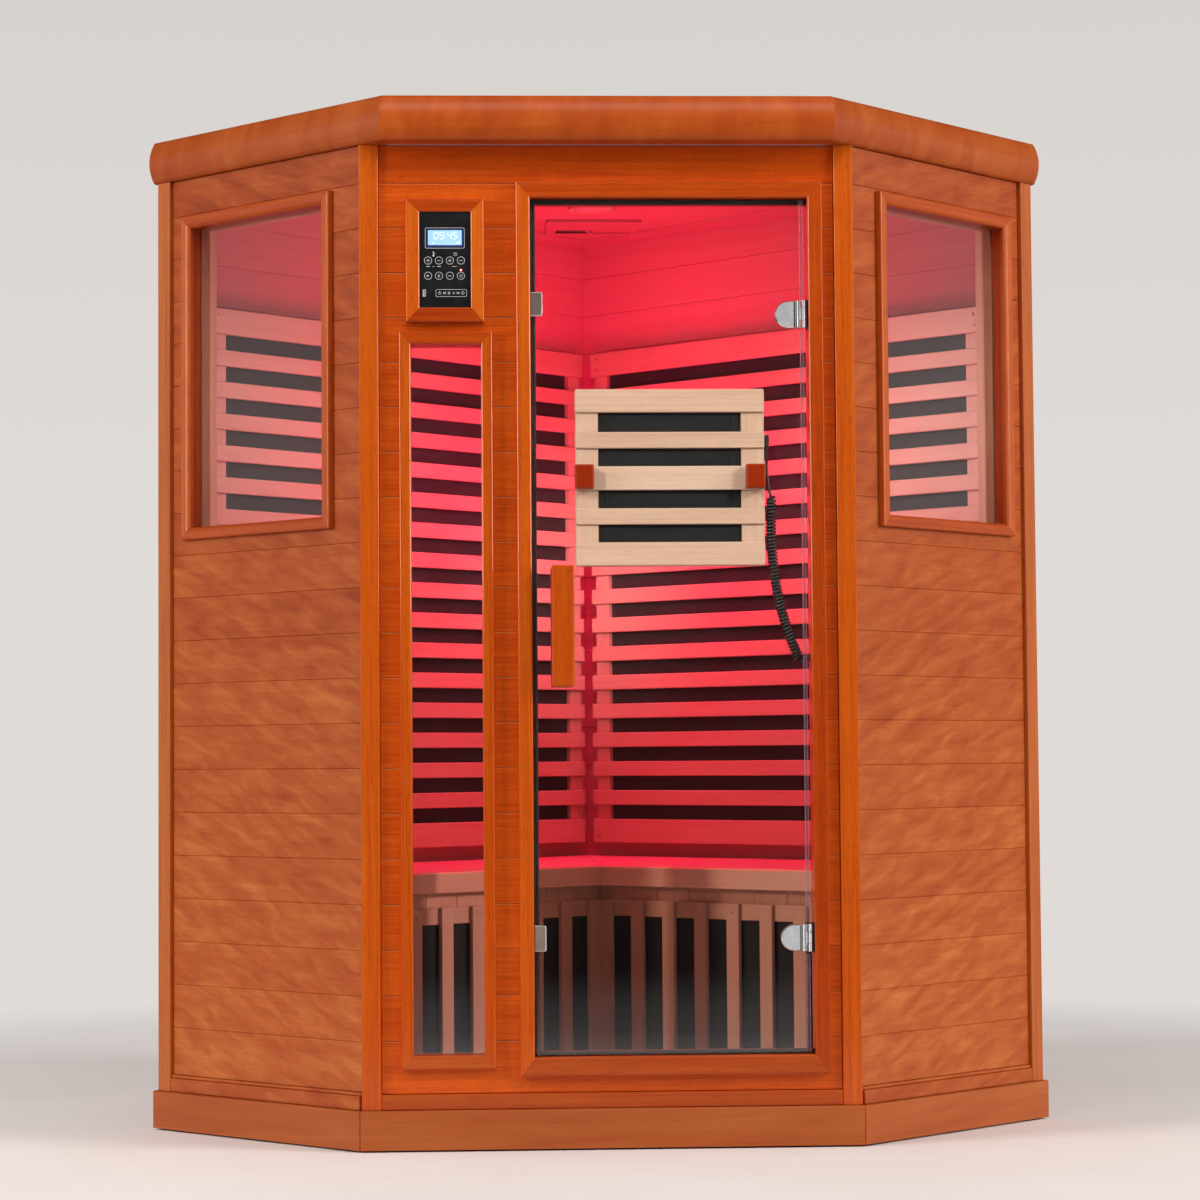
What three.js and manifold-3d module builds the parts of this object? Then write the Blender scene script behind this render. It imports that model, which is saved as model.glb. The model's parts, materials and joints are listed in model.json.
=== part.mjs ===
// Corner infrared sauna cabin for two people, in millimetres, +Z up, front facing -Y.
// The plan is a square whose front corner is cut off at 45 degrees: a front with the glass door,
// two wings with a window each, and two back walls that meet in the room's corner.
// All pieces are laid out from the middle of the front wall's outer face at floor level;
// the top group then moves them so that the origin is under the middle of the cabin's box.

import * as THREE from 'three';
import { mergeVertices } from 'three/addons/utils/BufferGeometryUtils.js';
import Module from 'manifold-3d';

const wasm = await Module();
wasm.setup();

// ---------------------------------------------------------------- driving dimensions
const SIDE = 1200;             // side of the square plan, over the wall posts
const FRONT_W = 900;           // width of the cut-off front, over the posts
const WALL_T = 50;             // wall thickness
const RECESS = 8;              // cladding lies this far behind posts and rails
const POST_W = 36;             // visible width of the posts
const GAP = 0.3;               // air between pieces that touch

const BASE_H = 73.4;           // plinth height
const WALL_TOP = 1811;         // top of the walls, underside of the roof
const TOTAL_H = 1892;          // top of the roof moulding

const ROOF_FRONT_OUT = 46;     // roof edge beyond the front posts
const ROOF_WING_OUT = 1.6;     // roof edge beyond the wing posts
const ROOF_BACK_OUT = 8;       // roof edge beyond the back walls
const ROOF_BULGE = 13.12;      // how far the moulding's round face stands out
const ROOF_MOULD_T = 38;       // moulding depth behind its edge
const ROOF_PANEL_T = 22;       // ceiling panel thickness

const DOOR_CASING = { x0: -165, x1: 391.5, z0: 131, z1: 1743.5 };
const DOOR_CLEAR = { x0: -139.5, x1: 365, z0: 165, z1: 1714 };
const DOOR_GLASS = { x0: -136.5, x1: 352, z0: 168, z1: 1711, y0: 8, y1: 14 };
const CASING_FACE = -8;        // the casing stands proud of the posts
const STOP_W = 14;             // width of the door stop
const STOP_Y = 22;             // front face of the door stop
const HINGE_X = 356.5;         // door hinge axis
const HINGE_Y = 1;
const HINGES = { upper: [1476, 1527], lower: [348.5, 398.5] };
const HINGE_KNUCKLE_R = 5;
const HINGE_PIN_R = 2;

const NARROW_WIN = { x0: -377, x1: -209, z0: 145, z1: 1470 };
const NARROW_CLEAR = { x0: -356, x1: -229, z0: 170, z1: 1447 };
const SIDE_WIN = { u0: 76, u1: 492, z0: 1119, z1: 1737 };
const SIDE_CLEAR = { u0: 99, u1: 467, z0: 1141, z1: 1714 };

const CTRL_FRAME = { x0: -364, x1: -223, z0: 1487, z1: 1711 };
const CTRL_PANEL = { x0: -339, x1: -247, z0: 1514, z1: 1687 };
const CTRL_FACE = -4;
const BUTTON_R = 7.2;
const BUTTON_X = [-323.7, -304.1, -284.3, -264.4];
const BUTTON_Z = [1599, 1571.2];

const GRILLE = { u0: 95, u1: 1130, z0: 519, z1: 1570, wide: 50, slat: 31.4, count: 15 };
const BENCH_D = 540;           // bench front, from the outer back wall faces
const SEAT_TOP = 490;
const SEAT_T = 22;
const APRON_H = 39;
const LEG = { u0: 536, pitch: 81.3, slat: 33, count: 8, z0: 90, z1: 424, rail: 31 };

const HEATER = { x0: -59.5, x1: 281, stile: 42 };   // door heater
const HEATER_BANDS = [[1324.6, 1367], [1259.3, 1289], [1183.3, 1226.7], [1120.8, 1150.4], [1046, 1088.7]];
const HANDLE = { x0: -105, x1: -64, z0: 827, z1: 1045 };
const HANDLE_BOLTS = [868, 1004];
const BLOCKS = { left: [-61, -26.5], right: [248.5, 283.5], z0: 1184, z1: 1228 };
const CATCHES = { upper: [1499.5, 1543], lower: [352.6, 399] };

const CORD_D = 3.5;            // straight lead
const COIL_D = 17;             // outside of the curly stretch
const CORD_TOP = [[287, 31, 1231.6], [287.4, 31, 1222], [289.6, 31.5, 1196], [294, 32, 1176], [297.6, 32, 1160]];
const COIL = [[298, 32, 1166], [296.8, 32, 1142], [296.6, 32, 1118], [297, 32, 1094], [298.2, 32, 1071], [300.3, 32, 1046],
  [303.2, 32, 1021.6], [307, 32, 998], [311.8, 32, 974.5], [317.8, 32, 951], [325, 32, 928], [333, 32.5, 906], [341, 33, 886]];
const CORD_END = [[338.5, 32.8, 892], [343, 33.2, 882], [349, 34, 878], [356, 34, 878.6], [363.9, 34, 879]];

const LAMP = { x: 0, y: 660, r: 45 };
const VENT = { x0: -87, x1: 109, y0: 805, y1: 975, z0: 1799 };
const VENT_SLOT = { x0: -65, x1: 93, y0: 906, y1: 947 };
const SHUTTER_W = 94;

// ---------------------------------------------------------------- derived layout
const R2 = Math.SQRT2;
const HALF = SIDE / R2;                        // half of the plan's diagonal
const WING = (HALF - FRONT_W / 2) * R2;        // wing length
const CORNER_L = [-HALF, HALF - FRONT_W / 2];  // where wing and back wall meet
const BACK_Y = HALF - FRONT_W / 2 + HALF;      // back corner
const ORIGIN_Y = 600;

// Outline of the plan with each side moved out by its own amount.
const outline = (front, wing, back) => {
  const a = FRONT_W / 2 + wing * R2;
  const b = BACK_Y + back * R2;
  return [[-a + front, -front], [a - front, -front], [(a + b) / 2, (b - a) / 2], [0, b], [-(a + b) / 2, (b - a) / 2]];
};
// Plan point from its depths behind the two back walls' outer faces.
const fromBack = (p, q) => [(p - q) / R2, BACK_Y - (p + q) / R2];

// ---------------------------------------------------------------- shape helpers
const solid = (geometry) => {
  geometry.deleteAttribute('normal');
  geometry.deleteAttribute('uv');
  const g = mergeVertices(geometry, 1e-4);
  return new wasm.Manifold(new wasm.Mesh({
    numProp: 3,
    vertProperties: new Float32Array(g.attributes.position.array),
    triVerts: new Uint32Array(g.index.array),
  }));
};
const join = (...list) => list.reduce((a, b) => a.add(b));
const cut = (body, ...tools) => tools.reduce((a, b) => a.subtract(b), body);

const box = (x0, x1, y0, y1, z0, z1) => solid(new THREE.BoxGeometry(x1 - x0, y1 - y0, z1 - z0)
  .translate((x0 + x1) / 2, (y0 + y1) / 2, (z0 + z1) / 2));
const shapeOf = (points) => new THREE.Shape(points.map(([x, y]) => new THREE.Vector2(x, y)));
const planPrism = (points, z0, z1) => solid(new THREE.ExtrudeGeometry(shapeOf(points), { depth: z1 - z0, bevelEnabled: false })
  .translate(0, 0, z0));
const facePrism = (shape, y0, y1) => solid(new THREE.ExtrudeGeometry(shape, { depth: y1 - y0, bevelEnabled: false, curveSegments: 16 })
  .rotateX(Math.PI / 2).translate(0, y1, 0));
const pinY = (x, z, r, y0, y1, seg = 24) => solid(new THREE.CylinderGeometry(r, r, y1 - y0, seg).translate(x, (y0 + y1) / 2, z));
const pinZ = (x, y, r, z0, z1, seg = 24) => solid(new THREE.CylinderGeometry(r, r, z1 - z0, seg)
  .rotateX(Math.PI / 2).translate(x, y, (z0 + z1) / 2));
// Rectangular ring in the x-z plane, y0 to y1.
const ring = (o, i, y0, y1) => cut(box(o.x0, o.x1, y0, y1, o.z0, o.z1), box(i.x0, i.x1, y0 - 1, y1 + 1, i.z0, i.z1));
const tube = (points, d, sides, steps) => {
  const path = new THREE.CatmullRomCurve3(points.map((p) => new THREE.Vector3(...p)));
  const section = [];
  for (let k = 0; k < sides; k++) {
    const a = (2 * Math.PI * k) / sides;
    section.push([(d / 2) * Math.cos(a), (d / 2) * Math.sin(a)]);
  }
  return solid(new THREE.ExtrudeGeometry(shapeOf(section), { steps, bevelEnabled: false, extrudePath: path }));
};

// ---------------------------------------------------------------- finishes
const finish = {
  stained: () => new THREE.MeshStandardMaterial({ color: 0xb45a28, roughness: 0.42, metalness: 0 }),
  hemlock: () => new THREE.MeshStandardMaterial({ color: 0xd9b795, roughness: 0.6, metalness: 0 }),
  glass: () => new THREE.MeshStandardMaterial({ color: 0xdfe8e4, roughness: 0.05, metalness: 0, transparent: true, opacity: 0.25 }),
  carbon: () => new THREE.MeshStandardMaterial({ color: 0x2b2a28, roughness: 0.65, metalness: 0 }),
  steel: () => new THREE.MeshStandardMaterial({ color: 0xc9cbcc, roughness: 0.25, metalness: 1 }),
  black: () => new THREE.MeshStandardMaterial({ color: 0x161719, roughness: 0.35, metalness: 0 }),
  rubber: () => new THREE.MeshStandardMaterial({ color: 0x141414, roughness: 0.7, metalness: 0 }),
  display: () => new THREE.MeshStandardMaterial({ color: 0xbfd6f2, roughness: 0.2, metalness: 0 }),
  lamp: () => new THREE.MeshStandardMaterial({ color: 0xff5560, roughness: 0.3, metalness: 0 }),
  sheet: () => new THREE.MeshStandardMaterial({ color: 0x9b9c9c, roughness: 0.5, metalness: 0.6 }),
};

const cabin = new THREE.Group();
cabin.position.set(0, -ORIGIN_Y, 0);

const put = (parent, name, body, material) => {
  const m = body.getMesh();
  const g = new THREE.BufferGeometry();
  g.setAttribute('position', new THREE.BufferAttribute(new Float32Array(m.vertProperties), 3));
  g.setIndex(new THREE.BufferAttribute(new Uint32Array(m.triVerts), 1));
  g.computeVertexNormals();
  const mesh = new THREE.Mesh(g, material);
  mesh.name = name;
  parent.add(mesh);
  return mesh;
};

// Wall frames: local x runs along the wall, local y goes into the cabin.
const frameAt = (x, y, degrees) => {
  const g = new THREE.Group();
  g.position.set(x, y, 0);
  g.rotation.z = THREE.MathUtils.degToRad(degrees);
  cabin.add(g);
  return g;
};
const wingLeft = frameAt(CORNER_L[0], CORNER_L[1], -45);    // x from the rear corner to the front corner
const wingRight = frameAt(FRONT_W / 2, 0, 45);              // x from the front corner to the rear corner
const backLeft = frameAt(0, BACK_Y, 225);                   // x from the back corner outwards
const backRight = frameAt(-CORNER_L[0], CORNER_L[1], 135);  // x from the rear corner to the back corner
// Span along a wall, from its reference corner, in each frame's own x.
const spanL = (u0, u1) => [WING - u1, WING - u0];
const spanR = (u0, u1) => [u0, u1];
const backSpanL = (u0, u1) => [u0, u1];
const backSpanR = (u0, u1) => [SIDE - u1, SIDE - u0];

// ---------------------------------------------------------------- plinth and floor
const Z_WALL0 = BASE_H + GAP;
const Z_WALL1 = WALL_TOP - GAP;

put(cabin, 'base_plinth', cut(planPrism(outline(9, 8, 8), 0, BASE_H),
  planPrism(outline(-41, -42, -42), 45, BASE_H + 5),
  planPrism(outline(-66, -67, -67), -5, 60)), finish.stained());
put(cabin, 'floor_panel', planPrism(outline(-41.3, -42.3, -42.3), 45 + GAP, BASE_H), finish.hemlock());

// ---------------------------------------------------------------- front wall
const half = FRONT_W / 2;
const mitre = WALL_T * Math.tan(Math.PI / 8);
put(cabin, 'front_wall', cut(
  planPrism([[-half + 0.2, 0], [half - 0.2, 0], [half - mitre - 0.2, WALL_T], [-half + mitre + 0.2, WALL_T]], Z_WALL0, Z_WALL1),
  box(-half + POST_W, half - POST_W, -5, RECESS, 101, WALL_TOP + 5),
  box(-160, 386, -5, WALL_T + 5, 136, 1738),
  box(-360, -225, -5, WALL_T + 5, 166, 1451),
  box(-343, -243, -5, WALL_T + 5, 1510, 1691)), finish.stained());

put(cabin, 'door_frame', join(
  ring(DOOR_CASING, DOOR_CLEAR, CASING_FACE, RECESS - GAP),
  ring({ x0: -159.7, x1: 385.7, z0: 136.3, z1: 1737.7 }, DOOR_CLEAR, 4, WALL_T),
  box(DOOR_CLEAR.x0 - 2, DOOR_CLEAR.x0 + STOP_W, STOP_Y, WALL_T, DOOR_CLEAR.z0 - 2, DOOR_CLEAR.z1 + 2),
  box(DOOR_CLEAR.x0 - 2, DOOR_CLEAR.x1 + 2, STOP_Y, WALL_T, DOOR_CLEAR.z1 - STOP_W, DOOR_CLEAR.z1 + 2),
  box(DOOR_CLEAR.x0 - 2, DOOR_CLEAR.x1 + 2, STOP_Y, WALL_T, DOOR_CLEAR.z0 - 2, DOOR_CLEAR.z0 + STOP_W)), finish.stained());

const SEAL0 = 16.4;
put(cabin, 'door_gasket', join(
  box(DOOR_CLEAR.x0 + GAP, DOOR_CLEAR.x0 + 13, SEAL0, STOP_Y - GAP, DOOR_CLEAR.z0 + GAP, DOOR_CLEAR.z1 - GAP),
  box(DOOR_CLEAR.x0 + GAP, DOOR_CLEAR.x1 - GAP, SEAL0, STOP_Y - GAP, DOOR_CLEAR.z1 - 13, DOOR_CLEAR.z1 - GAP),
  box(DOOR_CLEAR.x0 + GAP, DOOR_CLEAR.x1 - GAP, SEAL0, STOP_Y - GAP, DOOR_CLEAR.z0 + GAP, DOOR_CLEAR.z0 + 13)), finish.rubber());

put(cabin, 'narrow_window_moulding', ring(NARROW_WIN, NARROW_CLEAR, -5, RECESS - GAP), finish.stained());
put(cabin, 'narrow_window_glass', box(-359.7, -225.3, 12, 17, 166.3, 1450.7), finish.glass());

// ---------------------------------------------------------------- wings
const wingWall = (span, flip) => {
  const p = (u, d) => [flip ? WING - u : u, d];
  const pts = [p(0.3, 0), p(WING, 0), p(WING, WALL_T), p(mitre + 0.3, WALL_T)];
  const [r0, r1] = span(-5, WING - POST_W);
  const [w0, w1] = span(SIDE_CLEAR.u0 - 4, SIDE_CLEAR.u1 + 4);
  return cut(planPrism(pts, Z_WALL0, Z_WALL1),
    box(r0, r1, -5, RECESS, 99, WALL_TOP + 5),
    box(w0, w1, -5, WALL_T + 5, SIDE_CLEAR.z0 - 4, SIDE_CLEAR.z1 + 4));
};
const sideMoulding = (span) => {
  const [o0, o1] = span(SIDE_WIN.u0, SIDE_WIN.u1);
  const [i0, i1] = span(SIDE_CLEAR.u0, SIDE_CLEAR.u1);
  return ring({ x0: o0, x1: o1, z0: SIDE_WIN.z0, z1: SIDE_WIN.z1 }, { x0: i0, x1: i1, z0: SIDE_CLEAR.z0, z1: SIDE_CLEAR.z1 }, -4, RECESS - GAP);
};
const sideGlass = (span) => {
  const [g0, g1] = span(SIDE_CLEAR.u0 - 3.7, SIDE_CLEAR.u1 + 3.7);
  return box(g0, g1, 26, 31, SIDE_CLEAR.z0 - 3.7, SIDE_CLEAR.z1 + 3.7);
};
put(wingLeft, 'wing_wall_left', wingWall(spanL, true), finish.stained());
put(wingRight, 'wing_wall_right', wingWall(spanR, false), finish.stained());
put(wingLeft, 'side_window_moulding_left', sideMoulding(spanL), finish.stained());
put(wingRight, 'side_window_moulding_right', sideMoulding(spanR), finish.stained());
put(wingLeft, 'side_window_glass_left', sideGlass(spanL), finish.glass());
put(wingRight, 'side_window_glass_right', sideGlass(spanR), finish.glass());

// ---------------------------------------------------------------- back walls
const wallSpan = (span, u0, u1, d0, d1, z0, z1) => {
  const [x0, x1] = span(u0, u1);
  return box(x0, x1, d0, d1, z0, z1);
};
put(backLeft, 'back_wall_left', wallSpan(backSpanL, 0, SIDE - WALL_T - GAP, 0, WALL_T, Z_WALL0, Z_WALL1), finish.stained());
put(backRight, 'back_wall_right', wallSpan(backSpanR, WALL_T + GAP, SIDE - WALL_T - GAP, 0, WALL_T, Z_WALL0, Z_WALL1), finish.stained());

// Back heaters: horizontal slats on two stiles, with a carbon panel against the wall.
const backGrille = (span) => {
  const gap = (GRILLE.z1 - GRILLE.z0 - 2 * GRILLE.wide - GRILLE.count * GRILLE.slat) / (GRILLE.count + 1);
  const parts = [
    wallSpan(span, GRILLE.u0 + 10, GRILLE.u0 + 45, 58, 81, GRILLE.z0 + 6, GRILLE.z1 - 6),
    wallSpan(span, GRILLE.u1 - 45, GRILLE.u1 - 10, 58, 81, GRILLE.z0 + 6, GRILLE.z1 - 6),
    wallSpan(span, GRILLE.u0, GRILLE.u1, 80, 90, GRILLE.z0, GRILLE.z0 + GRILLE.wide),
    wallSpan(span, GRILLE.u0, GRILLE.u1, 80, 90, GRILLE.z1 - GRILLE.wide, GRILLE.z1),
  ];
  for (let k = 0; k < GRILLE.count; k++) {
    const z = GRILLE.z0 + GRILLE.wide + gap + k * (GRILLE.slat + gap);
    parts.push(wallSpan(span, GRILLE.u0, GRILLE.u1, 80, 90, z, z + GRILLE.slat));
  }
  return join(...parts);
};
put(backLeft, 'back_grille_left', backGrille(backSpanL), finish.hemlock());
put(backRight, 'back_grille_right', backGrille(backSpanR), finish.hemlock());
put(backLeft, 'back_heater_left', wallSpan(backSpanL, 108, 1117, WALL_T + GAP, 57.7, 532, 1557), finish.carbon());
put(backRight, 'back_heater_right', wallSpan(backSpanR, 108, 1117, WALL_T + GAP, 57.7, 532, 1557), finish.carbon());

// ---------------------------------------------------------------- bench
const IN = WALL_T + GAP;
const END = SIDE - WALL_T - GAP;
const vee = (d0, d1) => [fromBack(d0, d0), fromBack(d0, END), fromBack(d1, END), fromBack(d1, d1), fromBack(END, d1), fromBack(END, d0)];
put(cabin, 'bench_seat', join(
  planPrism(vee(IN, BENCH_D), SEAT_TOP - SEAT_T, SEAT_TOP),
  planPrism(vee(BENCH_D - 22, BENCH_D), SEAT_TOP - APRON_H, SEAT_TOP)), finish.hemlock());
put(cabin, 'bench_front', planPrism(vee(BENCH_D - 40, BENCH_D - 25), Z_WALL0, SEAT_TOP - SEAT_T - GAP), finish.hemlock());

const LEG_D = BENCH_D - 25;
const legGrille = (span) => {
  const end = LEG.u0 + (LEG.count - 1) * LEG.pitch + LEG.slat;
  const parts = [
    wallSpan(span, LEG.u0 - 5, end + 2, LEG_D + 5.3, LEG_D + 15, LEG.z1 - LEG.rail, LEG.z1),
    wallSpan(span, LEG.u0 - 5, end + 2, LEG_D + 5.3, LEG_D + 15, LEG.z0, LEG.z0 + LEG.rail),
  ];
  for (let k = 0; k < LEG.count; k++) {
    const u = LEG.u0 + k * LEG.pitch;
    parts.push(wallSpan(span, u, u + LEG.slat, LEG_D + 14, LEG_D + 20, LEG.z0, LEG.z1));
  }
  return join(...parts);
};
put(backLeft, 'leg_grille_left', legGrille(backSpanL), finish.hemlock());
put(backRight, 'leg_grille_right', legGrille(backSpanR), finish.hemlock());
put(backLeft, 'leg_heater_left', wallSpan(backSpanL, LEG.u0 - 4, 1136, LEG_D + GAP, LEG_D + 5, LEG.z0 + 6, LEG.z1 - 6), finish.carbon());
put(backRight, 'leg_heater_right', wallSpan(backSpanR, LEG.u0 - 4, 1136, LEG_D + GAP, LEG_D + 5, LEG.z0 + 6, LEG.z1 - 6), finish.carbon());

// ---------------------------------------------------------------- roof
const PANEL_TOP = WALL_TOP + ROOF_PANEL_T;
put(cabin, 'roof_panel', cut(
  planPrism(outline(ROOF_FRONT_OUT - ROOF_MOULD_T - GAP, ROOF_WING_OUT - ROOF_MOULD_T - GAP, ROOF_BACK_OUT), WALL_TOP, TOTAL_H),
  planPrism(outline(40, 20, -12), PANEL_TOP, TOTAL_H + 10),
  pinZ(LAMP.x, LAMP.y, 35, WALL_TOP - 5, PANEL_TOP + 5),
  box(VENT_SLOT.x0, -1, VENT_SLOT.y0, VENT_SLOT.y1, WALL_TOP - 5, PANEL_TOP + 5)), finish.hemlock());

// Moulding profile: out from the roof's edge line, and up.
const profile = () => {
  const pts = [[-ROOF_MOULD_T, WALL_TOP], [0, WALL_TOP]];
  for (let k = 1; k < 10; k++) {
    const t = k / 10;
    pts.push([ROOF_BULGE * (1 - (2 * t - 1) ** 2) - 1.5 * t, WALL_TOP + (TOTAL_H - WALL_TOP) * t]);
  }
  pts.push([-1.5, TOTAL_H], [-ROOF_MOULD_T, TOTAL_H]);
  return pts;
};
const FAR = 16;
const cornerAt = (d) => outline(ROOF_FRONT_OUT + d, ROOF_WING_OUT + d, ROOF_BACK_OUT);
{
  const o = cornerAt(FAR);
  const i = cornerAt(-ROOF_MOULD_T);
  // Front length: profile across -Y, run along X, cut to the mitres.
  const run = solid(new THREE.ExtrudeGeometry(shapeOf(profile()), { depth: 1000, bevelEnabled: false })
    .rotateX(Math.PI / 2).rotateZ(-Math.PI / 2).translate(500, -ROOF_FRONT_OUT, 0));
  put(cabin, 'roof_moulding_front', run.intersect(planPrism(
    [[o[0][0] + 0.2, o[0][1]], [o[1][0] - 0.2, o[1][1]], [i[1][0] - 0.2, i[1][1]], [i[0][0] + 0.2, i[0][1]]], WALL_TOP - 5, TOTAL_H + 5)), finish.stained());
  // Wing lengths: the same profile across the wing, from the mitre to the back edge.
  const wing = solid(new THREE.ExtrudeGeometry(shapeOf(profile()), { depth: 1000, bevelEnabled: false })
    .rotateX(Math.PI / 2).rotateZ(-Math.PI / 2).translate(800, -ROOF_WING_OUT, 0).rotateZ(Math.PI / 4).translate(half, 0, 0));
  const right = wing.intersect(planPrism(
    [[o[1][0] + 0.1, o[1][1]], o[2], i[2], [i[1][0] + 0.1, i[1][1]]], WALL_TOP - 5, TOTAL_H + 5));
  put(cabin, 'roof_moulding_right', right, finish.stained());
  const wingL = solid(new THREE.ExtrudeGeometry(shapeOf(profile()), { depth: 1000, bevelEnabled: false })
    .rotateX(Math.PI / 2).rotateZ(-Math.PI / 2).translate(200, -ROOF_WING_OUT, 0).rotateZ(-Math.PI / 4).translate(-half, 0, 0));
  const left = wingL.intersect(planPrism(
    [[o[0][0] - 0.1, o[0][1]], [i[0][0] - 0.1, i[0][1]], i[4], o[4]], WALL_TOP - 5, TOTAL_H + 5));
  put(cabin, 'roof_moulding_left', left, finish.stained());
}
const POWER = { x: 0, y: 1035 };
put(cabin, 'roof_dust_cover', cut(
  planPrism(outline(ROOF_FRONT_OUT - ROOF_MOULD_T - GAP, ROOF_WING_OUT - ROOF_MOULD_T - GAP, -12.3), TOTAL_H - 12, TOTAL_H - 6),
  pinZ(POWER.x + 60, POWER.y, 14, TOTAL_H - 20, TOTAL_H),
  box(VENT_SLOT.x0, -1, VENT_SLOT.y0, VENT_SLOT.y1, TOTAL_H - 20, TOTAL_H)), finish.sheet());
put(cabin, 'power_supply_box', join(
  box(POWER.x - 110, POWER.x + 110, POWER.y - 48, POWER.y + 48, PANEL_TOP + GAP, PANEL_TOP + 42),
  pinZ(POWER.x + 60, POWER.y, 11, PANEL_TOP + 40, TOTAL_H - 1)), finish.black());

// ---------------------------------------------------------------- ceiling lamp and vent
{
  const pts = [[0, 1803.5], [36, 1803.5], [42, 1804.5], [LAMP.r, 1807.5], [LAMP.r, WALL_TOP - GAP], [33, WALL_TOP - GAP], [33, 1836], [0, 1836]];
  put(cabin, 'ceiling_lamp', solid(new THREE.LatheGeometry(pts.map(([r, z]) => new THREE.Vector2(r, z)), 32)
    .rotateX(Math.PI / 2).translate(LAMP.x, LAMP.y, 0)), finish.lamp());
}
put(cabin, 'vent_frame', cut(
  box(VENT.x0, VENT.x1, VENT.y0, VENT.y1, VENT.z0, WALL_TOP - GAP),
  box(VENT_SLOT.x0, VENT_SLOT.x1, VENT_SLOT.y0 + 2, VENT_SLOT.y1 - 2, VENT.z0 - 5, VENT.z0 + 6),
  box(VENT_SLOT.x0 - 0.5, VENT_SLOT.x1 + 0.5, VENT_SLOT.y0 - 2, VENT_SLOT.y1 + 2, VENT.z0 + 3, WALL_TOP + 5)), finish.hemlock());
put(cabin, 'vent_shutter', join(
  box(VENT_SLOT.x1 - SHUTTER_W, VENT_SLOT.x1, VENT_SLOT.y0 - 1.6, VENT_SLOT.y1 + 1.6, VENT.z0 + 3.3, VENT.z0 + 8),
  pinZ(46, (VENT_SLOT.y0 + VENT_SLOT.y1) / 2, 6, VENT.z0 - 5, VENT.z0 + 4)), finish.hemlock());

// ---------------------------------------------------------------- control panel
put(cabin, 'control_frame', ring(CTRL_FRAME,
  { x0: CTRL_PANEL.x0 - GAP, x1: CTRL_PANEL.x1 + GAP, z0: CTRL_PANEL.z0 - GAP, z1: CTRL_PANEL.z1 + GAP }, CASING_FACE, RECESS - GAP), finish.stained());
{
  let housing = cut(box(CTRL_PANEL.x0, CTRL_PANEL.x1, CTRL_FACE, 36, CTRL_PANEL.z0, CTRL_PANEL.z1),
    box(-293.3 - 33.3, -293.3 + 33.3, CTRL_FACE - 5, 2.3, 1640 - 16.3, 1640 + 16.3));
  BUTTON_Z.forEach((z, row) => BUTTON_X.forEach((x, col) => {
    housing = housing.subtract(pinY(x, z, BUTTON_R + 0.5, CTRL_FACE - 5, 6.5));
    put(cabin, `control_button_${row * 4 + col + 1}`, pinY(x, z, BUTTON_R, CTRL_FACE - 1, 4.2), finish.black());
  }));
  put(cabin, 'control_housing', housing, finish.black());
  put(cabin, 'control_display', box(-293.3 - 33, -293.3 + 33, CTRL_FACE + 0.4, 2, 1640 - 16, 1640 + 16), finish.display());
}

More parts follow.
